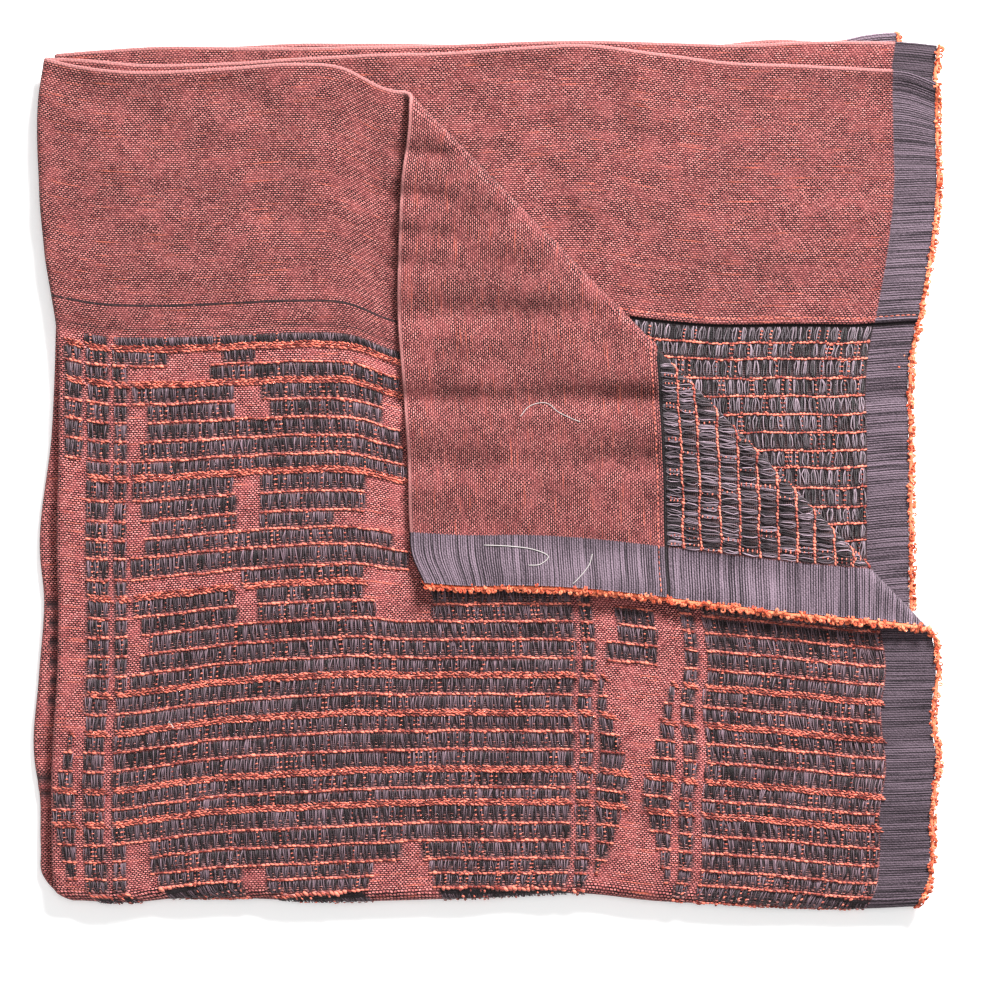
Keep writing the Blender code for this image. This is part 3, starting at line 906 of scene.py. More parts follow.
@dataclass(frozen=True)
class ClothFinish:
    """The woven ground: coral bricks with dark gaps, grey banded edges, and dark warp under the floats.

    Each dark line is its distance from the hem, its half width and its weight: the first is a dark pick,
    and the second is a faint line of painted shade along the facing's sewn edge, seen on the face.
    """

    brick_width: float = 1.8
    brick_height: float = 1.02
    squeeze: float = 0.85
    mortar: float = 0.34
    drift_scale: float = 0.35
    drift_reach: float = 0.9
    coral: tuple[int, int, int] = (196, 120, 116)
    rose: tuple[int, int, int] = (142, 72, 72)
    bright: tuple[int, int, int] = (178, 88, 68)
    # The dark gaps and flecks of the weave, and the colour of the painted shadow past the facing's sewn edge
    gap_and_painted_shadow: tuple[int, int, int] = (10, 1, 3)
    # Painted highlight: the pale pink laid along each hem's folded edge
    rim: tuple[int, int, int] = (158, 104, 102)
    plum: tuple[int, int, int] = (32, 24, 27)
    lilac: tuple[int, int, int] = (138, 98, 100)
    band_dark: tuple[int, int, int] = (26, 19, 24)
    band_light: tuple[int, int, int] = (122, 104, 116)
    band_pitch: float = 1.25
    pick_pitch: float = 0.95
    dark_picks_and_painted_shade: tuple[tuple[float, float, float], ...] = ((118.5, 0.9, 0.95), (130.4, 0.7, 0.45))

    def material(self) -> bpy.types.Material:
        """Build the material on the sheet's own map, which holds the flat sheet's places in millimetres."""
        make = Recipe("woven_cloth", 0.92, 0.05)
        place = make.node("ShaderNodeUVMap", {}, uv_map="weave").outputs[0]
        drift = make.node("ShaderNodeTexNoise", {"Vector": place, "Scale": self.drift_scale, "Detail": 2.0})
        moved = {0: drift.outputs["Color"], 1: (self.drift_reach, self.drift_reach, 0.0)}
        shift = make.node("ShaderNodeVectorMath", moved, operation="MULTIPLY").outputs[0]
        wavy = make.node("ShaderNodeVectorMath", {0: place, 1: shift}, operation="ADD").outputs[0]
        parts = make.node("ShaderNodeSeparateXYZ", {"Vector": place}).outputs
        from_edge = make.minus(FOLD.half_width, make.math("ABSOLUTE", parts["X"]))
        from_hem = make.minus(FOLD.half_length, make.math("ABSOLUTE", parts["Y"]))

        narrowed = make.scaled(wavy, (self.squeeze, 1.0, 1.0))
        bricks = make.node(
            "ShaderNodeTexBrick",
            {
                "Vector": narrowed,
                "Color1": linear(*self.coral),
                "Color2": linear(*self.rose),
                "Mortar": linear(*self.gap_and_painted_shadow),
                "Scale": 1.0,
                "Mortar Size": self.mortar,
                "Mortar Smooth": 0.6,
                "Bias": 0.0,
                "Brick Width": self.squeeze * self.brick_width,
                "Row Height": self.brick_height,
            },
            offset=0.5,
        )
        slub = make.noise(place, (0.04, 1.0, 1.0), 3.0)
        cloud = make.noise(place, (0.022, 0.03, 1.0), 4.0)
        patch = make.noise(place, (0.09, 0.12, 1.0), 3.0)
        fleck = make.noise(place, (0.8, 1.6, 1.0), 3.0)
        worn = make.mix(make.soft_step(patch, 0.42, 0.7), bricks.outputs["Color"], linear(*self.rose))
        ground = make.mix(0.35, bricks.outputs["Color"], worn)
        ground = make.mix(make.soft_step(slub, 0.58, 0.78), ground, linear(*self.bright))
        ground = make.mix(make.soft_step(fleck, 0.6, 0.8), ground, linear(*self.gap_and_painted_shadow))
        tone = make.line(cloud, 0.7, 0.65)
        inner = make.soft_step(from_hem, FOLD.facing_depth, FOLD.facing_depth + 6.0)
        tone = make.times(tone, make.line(inner, 0.5, 1.0))
        grey = make.node("ShaderNodeCombineColor", {0: tone, 1: tone, 2: tone}).outputs[0]
        ground = make.mix(1.0, ground, grey, "MULTIPLY")
        # Painted highlight: the ground turns pale pink within a few millimetres of each hem's folded edge
        ground = make.mix(make.soft_step(from_hem, 2.4, 0.6), ground, linear(*self.rim))

        fine = make.noise(place, (0.02, 1.1, 1.0), 4.0)
        fleck_band = make.noise(place, (0.6, 2.5, 1.0), 2.0)
        cord = make.math("SINE", make.times(parts["Y"], FULL_TURN / self.band_pitch))
        streak = make.plus(make.times(fine, 0.8), make.times(fleck_band, 0.3))
        streak = make.plus(streak, make.times(cord, 0.1))
        band = make.mix(make.soft_step(streak, 0.43, 0.68), linear(*self.band_dark), linear(*self.band_light))
        band_width = make.line(make.math("SIGN", parts["X"]), 2.0, FOLD.band - 3.0)
        shaded = make.line(make.math("SIGN", parts["X"]), -0.12, 0.12)
        shaded = make.line(make.attribute("face_side"), 0.4, shaded)
        band = make.mix(shaded, band, linear(*self.band_dark))
        in_band = make.soft_step(make.minus(band_width, from_edge), -0.5, 0.5)

        rows = make.node("ShaderNodeUVMap", {}, uv_map="rows").outputs[0]
        row_parts = make.node("ShaderNodeSeparateXYZ", {"Vector": rows}).outputs
        share = make.math("FRACT", row_parts["Y"])
        lines = make.math("SINE", make.times(parts["Y"], FULL_TURN / self.pick_pitch))
        picks = make.times(make.soft_step(lines, -0.2, 0.8), make.soft_step(share, 0.25, 0.8))
        picks = make.times(picks, make.soft_step(fleck, 0.3, 0.55))
        picks = make.times(picks, make.line(make.attribute("face_side"), 0.6, 0.4))
        under = make.mix(picks, linear(*self.plum), linear(*self.lilac))

        colour = make.mix(make.attribute("field"), ground, under)
        colour = make.mix(in_band, colour, band)
        # Dark lines on the face: a dark pick, and a faint line of painted shade along the facing's edge
        for distance, width, weight in self.dark_picks_and_painted_shade:
            away = make.math("ABSOLUTE", make.minus(from_hem, distance))
            broken = make.soft_step(make.noise(place, (0.45, 0.05, 1.0), 3.0), 0.32, 0.46)
            broken = make.times(broken, weight)
            line = make.times(make.soft_step(away, width, 0.3), broken)
            line = make.times(line, make.attribute("face_side"))
            colour = make.mix(line, colour, linear(*self.plum))

        # Painted shadow: a dark line on the reverse just past the facing's sewn edge, on the side away from
        # the hem, where the facing's step would shade the cloth
        seam = make.math("ABSOLUTE", make.minus(from_hem, FOLD.facing_depth + 1.3))
        seam = make.times(make.soft_step(seam, 1.5, 0.6), 0.9)
        seam = make.times(seam, make.minus(1.0, make.attribute("face_side")))
        colour = make.mix(seam, colour, linear(*self.gap_and_painted_shadow))

        relief = make.minus(1.0, bricks.outputs["Fac"])
        relief = make.plus(relief, make.times(fleck, 0.8))
        return make.finish(colour, relief, 0.00035)


@dataclass(frozen=True)
class YarnFinish:
    """A yarn: two colours mixed by each thread's own shade and by soft noise, with a fibrous bump."""

    name: str
    dark: tuple[int, int, int]
    light: tuple[int, int, int]
    sheen: float = 0.15
    grain: float = 2600.0

    def material(self) -> bpy.types.Material:
        """Build the material on Object coordinates and the attribute "shade"."""
        make = Recipe(self.name, 0.9, self.sheen)
        place = make.node("ShaderNodeTexCoord", {}).outputs["Object"]
        fibre = make.noise(place, (self.grain, self.grain, self.grain), 3.0)
        cloud = make.noise(place, (60.0, 60.0, 60.0), 2.0)
        mixed = make.plus(make.attribute("shade"), make.times(fibre, 0.5))
        mixed = make.plus(mixed, make.times(cloud, 0.4))
        share = make.soft_step(mixed, 0.45, 1.4)
        colour = make.mix(share, linear(*self.dark), linear(*self.light))
        return make.finish(colour, fibre, 0.0002, 0.7)


def yarn(finish: YarnFinish) -> bpy.types.Material:
    """Return a wardrobe's entry: the yarn's material, built when the wardrobe is."""
    return field(default_factory=finish.material)


@dataclass
class Wardrobe:
    """Every finish, built once."""

    cloth: bpy.types.Material = field(default_factory=ClothFinish().material)
    rib: bpy.types.Material = yarn(YarnFinish("coral_rib_yarn", (108, 34, 28), (238, 128, 106)))
    float_face: bpy.types.Material = yarn(YarnFinish("charcoal_float_yarn", (20, 12, 15), (122, 98, 108)))
    float_reverse: bpy.types.Material = yarn(YarnFinish("grey_float_yarn", (18, 11, 14), (146, 126, 137)))
    pick: bpy.types.Material = yarn(YarnFinish("pale_rose_pick", (124, 62, 58), (214, 142, 134)))
    loop: bpy.types.Material = yarn(YarnFinish("orange_looped_yarn", (186, 66, 34), (240, 134, 96), 0.25))
    stray: bpy.types.Material = yarn(YarnFinish("pale_stray_thread", (116, 108, 108), (196, 190, 186)))


def add_piece(
    name: str, mesh: bpy.types.Mesh, material: bpy.types.Material, replaces: tuple[str, ...] = ()
) -> bpy.types.Object:
    """Put a finished mesh in the scene, riding on the part's one body.

    Args:
        name: The piece's name.
        mesh: Its mesh, in the frame's own place.
        material: Its finish.
        replaces: The solids that it stands for.

    Returns:
        The object.
    """
    mesh.materials.append(material)
    piece = bpy.data.objects.new(name, mesh)
    bpy.context.scene.collection.objects.link(piece)
    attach(piece, "root")
    if replaces:
        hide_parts(*replaces)
    log.info("%s: %d points, %d faces", name, len(mesh.vertices), len(mesh.polygons))
    return piece


@dataclass
class SheetPiece:
    """One stretch of the sheet, closed all round: its face, its hem's rounded edge and its reverse."""

    name: str
    across: tuple[float, float]
    towards_hem: float
    column_step: float
    fine_step: float
    fine_side: Side
    coarse_every: int
    hem_steps: int = 5
    hem_round: float = 1.2
    hem_spacing: float = 2.2
    facing_round: float = 0.5
    seam_depth: float = 0.55
    face_wave: float = 0.22
    reverse_wave: float = -0.16
    map_pitch: float = 3.75

    def columns(self) -> np.ndarray:
        """Return the mesh's places across: even, and close round the left fold."""
        start, end = self.across
        even = np.arange(math.ceil(start / self.column_step), math.floor(end / self.column_step) + 1)
        near_fold = np.concatenate((np.arange(-12, 13) * 1.0, np.arange(-5, 6) * 0.63))
        places = np.concatenate((even * self.column_step, near_fold, (start, end)))
        places = np.unique(np.round(places[(places >= start) & (places <= end)], 3))
        keep = np.concatenate(((True,), np.diff(places) > 0.3))
        keep[-1] = True
        return places[keep]

    def rows(self, step: float) -> np.ndarray:
        """Return rising woven places from the bottom fold to the hem: some to each rib, even on the hem."""
        ribs = np.array([place for place in RIBS if place > 0.0])[::-1]
        stations = np.concatenate(((0.0,), ribs, (FOLD.facing_line - 0.6,)))
        rows = [
            np.linspace(low, high, max(2, round((high - low) / step)) + 1)[:-1]
            for low, high in zip(stations, stations[1:])
        ]
        count = round((FOLD.facing_depth - 1.0) / max(step, self.hem_spacing))
        hem = np.linspace(FOLD.facing_line, FOLD.half_length - self.hem_round, count)
        near_fold = np.linspace(0.0, 12.0, 12)
        seam = FOLD.facing_line + np.array((-0.6, 0.5, 1.1, 1.7))
        return np.unique(np.round(np.concatenate((*rows, near_fold, seam, hem)), 3))

    def coarse(self, fine: np.ndarray) -> np.ndarray:
        """Return every so many of the fine rows, with those close to the fold, the facing's edge and hem."""
        number = np.arange(len(fine))
        near = (fine < 6.0) | (np.abs(fine - FOLD.facing_line) < 1.0) | (number == len(fine) - 1)
        return fine[near | (number % self.coarse_every == 0)]

    def profile(self) -> tuple[np.ndarray, np.ndarray, np.ndarray]:
        """Return the closed section along the sheet: each row's woven place, its depth, and 1 on the face."""
        fine = self.rows(self.fine_step)
        face = fine if self.fine_side is Side.FACE else self.coarse(fine)
        reverse = (fine if self.fine_side is Side.REVERSE else self.coarse(fine))[::-1]
        top = 0.5 * FOLD.sheet
        under = -0.5 * FOLD.sheet - FOLD.facing
        radius = 0.5 * (top - under)
        turn = np.linspace(0.0, math.pi, self.hem_steps + 2)[1:-1]
        round_places = FOLD.half_length - self.hem_round + self.hem_round * np.sin(turn)
        round_depths = 0.5 * (top + under) + radius * np.cos(turn)
        steps = np.clip((reverse - FOLD.facing_line) / self.facing_round + 1.0, 0.0, 1.0)
        seam = np.exp(-(((reverse - FOLD.facing_line - 0.5) / 0.7) ** 2)) * (steps > 0.0)
        places = np.concatenate((face, round_places, reverse))
        reverse_depths = -top - FOLD.facing * ease(steps) - self.seam_depth * seam
        depths = np.concatenate((np.full(len(face), top), round_depths, reverse_depths))
        sides = np.concatenate((np.ones(len(face)), np.cos(turn) > 0.0, np.zeros(len(reverse))))
        return places * self.towards_hem, depths, sides

    def build(self, material: bpy.types.Material) -> bpy.types.Object:
        """Build the piece: the section's rows by the columns, with caps at both ends of the columns."""
        places, depths, sides = self.profile()
        across = self.columns()
        rows, columns = len(places), len(across)
        wide = np.tile(across, rows)
        woven = np.repeat(places, columns)
        depth = np.repeat(depths, columns)
        face_side = np.repeat(sides, columns)
        filled = CHART.filled(wide, woven, face_side)
        ribs = np.array(RIBS)[::-1]
        numbers = np.arange(len(RIBS))[::-1]
        row_number = np.interp(np.abs(woven), ribs, numbers)
        wave = np.cos(FULL_TURN * row_number) * filled
        depth = depth + np.where(face_side > 0.5, self.face_wave, self.reverse_wave) * wave
        points = FOLD.placed(wide, woven, depth)

        row = np.arange(rows)[:, None]
        after = (row + 1) % rows
        step = np.arange(columns - 1)[None, :]
        near = row * columns + step
        far = after * columns + step
        quads = np.stack((near, near + 1, far + 1, far), axis=2).reshape(-1, 4)
        if self.towards_hem < 0.0:
            quads = quads[:, ::-1]
        caps = self.cap_faces(places, sides, columns)
        mesh = bpy.data.meshes.new(self.name)
        mesh.from_pydata(points.tolist(), [], quads.tolist() + caps)
        corners = np.zeros(len(mesh.loops), np.int32)
        mesh.loops.foreach_get("vertex_index", corners)
        weave = np.stack((wide, woven), axis=1)[corners]
        numbered = np.stack((wide / self.map_pitch, row_number), axis=1)[corners]
        for name, values in (("weave", weave), ("rows", numbered)):
            mesh.uv_layers.new(name=name).data.foreach_set("uv", values.astype(np.float32).ravel())
        under_floats = filled * CHART.above_foot(woven, face_side)
        for name, values in (("field", under_floats), ("face_side", face_side)):
            mesh.attributes.new(name, "FLOAT", "POINT").data.foreach_set("value", values.astype(np.float32))
        mesh.shade_smooth()
        return add_piece(self.name, mesh, material)

    def cap_faces(self, places: np.ndarray, sides: np.ndarray, columns: int) -> list[list[int]]:
        """Return the faces that close both ends of the columns.

        The side with fewer rows sets the steps. Each step is one face between its two rows on that side and
        all the rows between the same woven places on the other side. The last one takes in the hem's rounded
        edge.

        Args:
            places: Each row's woven place, round the section.
            sides: 1 for each row of the face, 0 for each of the reverse.
            columns: The number of columns.

        Returns:
            The faces, as lists of point numbers.
        """
        reach = np.abs(places)
        hem = FOLD.half_length - self.hem_round + 0.001
        face = [int(number) for number in np.flatnonzero((sides > 0.5) & (reach <= hem))]
        reverse = [int(number) for number in np.flatnonzero((sides < 0.5) & (reach <= hem))][::-1]
        turn = list(range(face[-1] + 1, reverse[-1]))
        few, many = (face, reverse) if len(face) <= len(reverse) else (reverse, face)
        made = []
        for low, high in zip(few, few[1:]):
            between = [number for number in many if reach[low] - 1e-6 <= reach[number] <= reach[high] + 1e-6]
            ring = [low, high, *between[::-1]]
            made.append(ring if few is reverse else ring[::-1])
        made.append([reverse[-1], *turn[::-1], face[-1]])
        flip = self.towards_hem < 0.0
        rings = [ring[::-1] if flip else ring for ring in made]
        near = [[number * columns for number in ring] for ring in rings]
        far = [[number * columns + columns - 1 for number in ring[::-1]] for ring in rings]
        return near + far


@dataclass(frozen=True)
class FloatRun:
    """The form of a bundle of floats between two ribs.

    It is how wide, how high and how dark the bundle is along its way.
    """

    side: Side
    pitch: float
    shares: tuple[float, ...]
    spread: tuple[float, ...]
    heights: tuple[float, ...]
    strands: int
    jitter: float
    stray: float
    darkness: float
    radius: float = 0.27


@dataclass
class Floats:
    """Bundles of warp threads that float over each row, pinched together at the foot of the row."""

    form: FloatRun
    seed: int

    def build(self, shape: Shape, row: int, spans: list[tuple[float, float]]) -> None:
        """Add the bundles of one row.

        Each strand runs from the upper rib to the lower one, and its distance from the bundle's middle is its
        own share of the spread at each point.

        Args:
            shape: The piece that gains them.
            row: The row's number.
            spans: Where its runs start and end across.
        """
        random = np.random.default_rng(self.seed + row)
        form = self.form
        upper = RIBS[row - 1] - 0.5 if row > 0 else FOLD.facing_line - 3.4
        lower = RIBS[row] + (1.1 if form.side is Side.FACE else 0.4)
        if row == 0 and form.side is Side.FACE:
            lower = RIBS[0] + 2.0
        elif row == 0:
            upper = FOLD.facing_line - 1.8
        for start, end in spans:
            number = max(1, round((end - start) / form.pitch))
            width = (end - start) / number
            middles = start + width * (np.arange(number) + 0.5) + random.normal(0.0, 0.16, number)
            woven = np.full(number, 0.5 * (upper + lower))
            shows = FOLD.face_shows if form.side is Side.FACE else FOLD.reverse_shows
            seen = shows(middles, woven)
            if not seen.any():
                continue
            middles = middles[seen]
            count = len(middles)
            bundle_shade = random.uniform(0.0, 0.3, (count, 1))
            even = (np.arange(form.strands) - 0.5 * (form.strands - 1)) / form.strands
            own = even[None, :] * width + random.normal(0.0, form.jitter, (count, form.strands))
            shares = np.array(form.shares)
            spread = np.array(form.spread) * random.uniform(0.75, 1.2, (count, 1, 1))
            lean = random.normal(0.0, 0.35, (count, 1, 1)) * shares
            stray = random.normal(0.0, form.stray, (count, form.strands, len(shares)))
            across = middles[:, None, None] + own[:, :, None] * spread + lean + stray
            high = np.array(form.heights) * random.uniform(0.7, 1.3, (count, form.strands, 1))
            depth = form.side.value * (0.5 * FOLD.sheet + high)
            paths = paths_of(across, upper + (lower - upper) * shares, depth)
            own_shade = random.uniform(0.0, 1.0, (count, form.strands)) ** form.darkness
            shades = np.clip(bundle_shade + own_shade, 0.0, 1.0)
            radius = form.radius * random.uniform(0.75, 1.15, (count * form.strands, 1))
            add_flat_tubes(shape, paths, radius, 3, shades.reshape(-1, 1), flatness=0.8)


@dataclass
class Ribs:
    """Coral ropes between the rows of floats, made of leaning beads and drawn in hard between them.

    Each rope is how far it lies above the rib's place, and how far its beads lean.
    """

    seed: int = 11
    bead: float = 2.2
    half_height: float = 0.58
    lift: float = 0.5
    sides: int = 4
    plain_rope: tuple[tuple[float, float], ...] = ((0.0, 0.35),)
    thick_ropes: tuple[tuple[float, float], ...] = ((1.75, 0.8), (0.55, -0.8), (-0.65, 0.8))
    ring_shares: tuple[float, ...] = (0.0, 0.28, 0.74, 1.0)
    ring_heights: tuple[float, ...] = (0.35, 1.0, 0.95, 0.3)
    knot_from: float = 0.88
    knot_size: float = 1.45

    def build(self, shape: Shape, rib: int, runs: list[tuple[float, float]], side: Side) -> None:
        """Add one rib, which is three ropes that lean by turns where it is thick.

        Each bead is four rings: a ring's radius is the bead's size times that ring's height, and its middle
        leans across the bead's width. Size, place, lean and shade are each bead's own, and on top of its own
        shade each ring is painted lighter the fuller it is: painted shade at the bead's pinched ends and a
        painted highlight at its full middle.

        Args:
            shape: The piece that gains it.
            rib: The rib's number.
            runs: Where it starts and ends across.
            side: The side of the sheet that it stands on.
        """
        random = np.random.default_rng(self.seed + rib + (100 if side is Side.REVERSE else 0))
        shows = FOLD.face_shows if side is Side.FACE else FOLD.reverse_shows
        thick = rib in THICK_RIBS and side is Side.FACE
        ropes = self.thick_ropes if thick else self.plain_rope
        shares = np.array(self.ring_shares)
        heights = np.array(self.ring_heights)
        for start, end in runs:
            for number, (offset, slant) in enumerate(ropes):
                beads = max(1, round((end - start) / self.bead))
                width = (end - start) / beads
                first = start + width * np.arange(beads) + 0.5 * width * number
                wander = 0.22 * np.sin(0.21 * first + 1.7 * rib) + random.normal(0.0, 0.14, beads)
                middle_place = RIBS[rib] + offset + wander
                seen = shows(first + 0.5 * width, middle_place)
                first, middle_place = first[seen], middle_place[seen]
                count = len(first)
                if count == 0:
                    continue
                stretch = random.uniform(0.85, 1.25, (count, 1))
                lean = slant * random.uniform(0.4, 1.5, (count, 1))
                size = self.half_height * random.uniform(0.65, 1.15, (count, 1))
                knot = random.uniform(0.0, 1.0, (count, 1)) > self.knot_from
                size = size * np.where(knot, self.knot_size, 1.0)
                raised = random.normal(0.0, 0.1, (count, 1))
                across = first[:, None] + width * (0.5 + (shares - 0.5) * stretch)
                woven = middle_place[:, None] + lean * (0.5 - shares)
                depth = side.value * (0.5 * FOLD.sheet + self.lift + raised + 0.12 * heights)
                paths = paths_of(across, woven, depth)
                own = random.uniform(0.0, 0.9, (count, 1))
                # Painted shade and highlight: each ring's shade follows its height, so a bead is darker at
                # its pinched ends and lighter at its full middle
                shade = np.clip(own + 0.35 * (heights - 0.75), 0.0, 1.0)
                add_flat_tubes(shape, paths, size * heights, self.sides, shade, flatness=0.85)


@dataclass
class Picks:
    """Pale weft threads that show as short dashes between the bundles, wider towards the foot of each row."""

    seed: int = 31
    pitch: float = 3.8
    shares: tuple[float, ...] = (0.58, 0.76, 0.92)
    kept: float = 0.85

    def build(self, shape: Shape, row: int, spans: list[tuple[float, float]]) -> None:
        """Add the dashes of one row, one in most gaps for each thread."""
        random = np.random.default_rng(self.seed + row)
        upper = RIBS[row - 1] if row > 0 else FOLD.facing_line
        height = upper - RIBS[row]
        lengths = np.array((-1.0, 0.0, 1.0))
        for start, end in spans:
            number = max(1, round((end - start) / self.pitch))
            gaps = start + (end - start) * np.arange(number + 1) / number
            for share in self.shares:
                kept = random.uniform(0.0, 1.0, number + 1) < self.kept
                seen = FOLD.face_shows(gaps, np.full(number + 1, upper - share * height)) & kept
                across = gaps[seen] + random.normal(0.0, 0.2, int(seen.sum()))
                count = len(across)
                half = (0.3 + 1.0 * share**2) * random.uniform(0.6, 1.15, (count, 1))
                middle = np.clip(across[:, None], start + half, np.maximum(end - half, start + half))
                woven = upper - share * height + random.normal(0.0, 0.12, (count, 1))
                high = random.uniform(0.55, 0.9, (count, 1)) - 0.15 * np.abs(lengths)
                paths = paths_of(middle + half * lengths, woven, 0.5 * FOLD.sheet + high)
                shade = random.uniform(0.1, 0.9, (count, 1))
                add_flat_tubes(shape, paths, np.array(((0.14, 0.24, 0.14),)), 3, shade)


@dataclass
class Ties:
    """Coral threads that tie a row down here and there: each is a ladder of short beads across the floats."""

    seed: int = 51
    spacing: float = 9.5
    rungs: int = 4

    def build(self, shape: Shape, row: int, spans: list[tuple[float, float]], side: Side) -> None:
        """Add the ties of one row, on one side of the sheet, at random places along its runs."""
        random = np.random.default_rng(self.seed + row)
        shows = FOLD.face_shows if side is Side.FACE else FOLD.reverse_shows
        upper = RIBS[row - 1] if row > 0 else FOLD.facing_line - 3.0
        lower = RIBS[row]
        shares = (np.arange(self.rungs) + 0.5) / self.rungs
        lengths = np.array((-0.5, 0.0, 0.5))
        for start, end in spans:
            number = random.poisson((end - start) / self.spacing)
            middles = random.uniform(start + 1.0, end - 1.0, number)
            middles = middles[shows(middles, np.full(number, 0.5 * (upper + lower)))]
            count = len(middles)
            if count == 0:
                continue
            centre = middles[:, None] + random.normal(0.0, 0.16, (count, self.rungs))
            length = random.uniform(0.7, 1.4, (count, self.rungs))
            across = centre[:, :, None] + length[:, :, None] * lengths
            woven = (upper + (lower - upper) * shares)[None, :, None] + 0.3 * lengths
            high = 0.5 * FOLD.sheet + 0.85 + random.uniform(-0.2, 0.15, (count, self.rungs, 1))
            paths = paths_of(across, woven, side.value * high)
            radius = random.uniform(0.3, 0.44, (count * self.rungs, 1)) * np.array((0.5, 1.0, 0.5))
            shade = random.uniform(0.0, 0.9, (count * self.rungs, 1))
            add_flat_tubes(shape, paths, radius, 4, shade)


@dataclass
class LoopedEdge:
    """The looped yarn along a selvedge: a soft core, and small loops that stand out of it every way."""

    name: str
    side: float
    start: float
    end: float
    replaces: tuple[str, ...]
    seed: int
    pitch: float = 0.52
    reach: tuple[float, float] = (-0.4, 3.2)
    loop_radius: tuple[float, float] = (0.5, 1.05)
    loop_points: int = 6
    half_opened: float = 0.83 * math.pi
    core_place: float = 1.2
    core_radius: float = 0.95

    def build(self, material: bpy.types.Material) -> bpy.types.Object:
        """Build the run: each loop is five sixths of a circle in a tilted plane, rooted in the core."""
        random = np.random.default_rng(self.seed)
        shape = Shape()
        length = abs(self.end - self.start)
        places = np.linspace(self.start, self.end, round(length / 3.0) + 1)
        core = np.zeros((len(places), 3))
        core[:, 0] = self.side * (FOLD.half_width + self.core_place + 0.25 * np.sin(places * 0.7))
        core[:, 1] = places
        core_shade = random.uniform(0.3, 0.7, (1, len(places)))
        add_flat_tubes(shape, core[None], np.full((1, len(places)), self.core_radius), 6, core_shade)
        count = round(length / self.pitch)
        rooted = np.linspace(self.start, self.end, count) + random.normal(0.0, 0.4, count)
        rooted = np.clip(rooted, min(self.start, self.end) + 0.3, max(self.start, self.end) - 0.3)
        radius = random.uniform(*self.loop_radius, count)
        out = FOLD.half_width + random.uniform(*self.reach, count)
        middle = np.stack((out, rooted, random.normal(0.0, 1.0, count)), axis=1)
        tilt = random.uniform(-1.2, 1.2, count)
        sway = random.normal(0.0, 0.5, count)
        outward = np.stack((np.cos(sway), np.sin(sway), np.zeros(count)), axis=1)
        aside = np.stack((-np.sin(sway) * np.cos(tilt), np.cos(sway) * np.cos(tilt), np.sin(tilt)), axis=1)
        normal = np.cross(outward, aside)
        turn = np.linspace(-self.half_opened, self.half_opened, self.loop_points)
        wobble = random.uniform(0.8, 1.25, (count, self.loop_points))
        loop = outward[:, None] * (np.cos(turn) * wobble)[:, :, None]
        loop = loop + aside[:, None] * (np.sin(turn) * wobble)[:, :, None]
        paths = middle[:, None] + radius[:, None, None] * loop
        paths[:, :, 0] *= self.side
        normal[:, 0] *= self.side
        # Painted shade: each loop is a little lighter at its outer tip and darker at its roots in the core
        shade = np.clip(random.uniform(0.0, 0.9, (count, 1)) + 0.1 * np.cos(turn), 0.0, 1.0)
        thick = random.uniform(0.42, 0.66, (count, 1))
        add_flat_tubes(shape, paths, thick, 4, shade, normal)
        return add_piece(self.name, shape.mesh(self.name), material, self.replaces)


@dataclass
class Stitches:
    """The running stitches that hold a facing's edge to the reverse of the cloth."""

    pitch: float = 2.7
    length: float = 1.9
    inset: float = 2.6
    radius: float = 0.24
    seed: int = 71

    def build(self, shape: Shape, start: float, end: float, towards_hem: float) -> None:
        """Add the stitches of one hem, each a short thread along the facing, half sunk into it.

        Args:
            shape: The piece that gains them.
            start: Where they start across.
            end: Where they end across.
            towards_hem: 1 for the upper layers' hem and -1 for the lower ones'.
        """
        random = np.random.default_rng(self.seed)
        count = int((end - start) / self.pitch)
        places = start + self.pitch * (np.arange(count) + 0.5) + random.normal(0.0, 0.15, count)
        shares = np.array((-0.5, 0.0, 0.5))
        woven = towards_hem * (FOLD.facing_line + self.inset + random.normal(0.0, 0.1, (count, 1)))
        depth = -0.5 * FOLD.sheet - FOLD.facing - np.array((-0.15, 0.12, -0.15))
        paths = paths_of(places[:, None] + self.length * shares, woven, depth)
        shade = random.uniform(0.3, 0.9, (count, 1))
        add_flat_tubes(shape, paths, np.full((count, 1), self.radius), 4, shade)


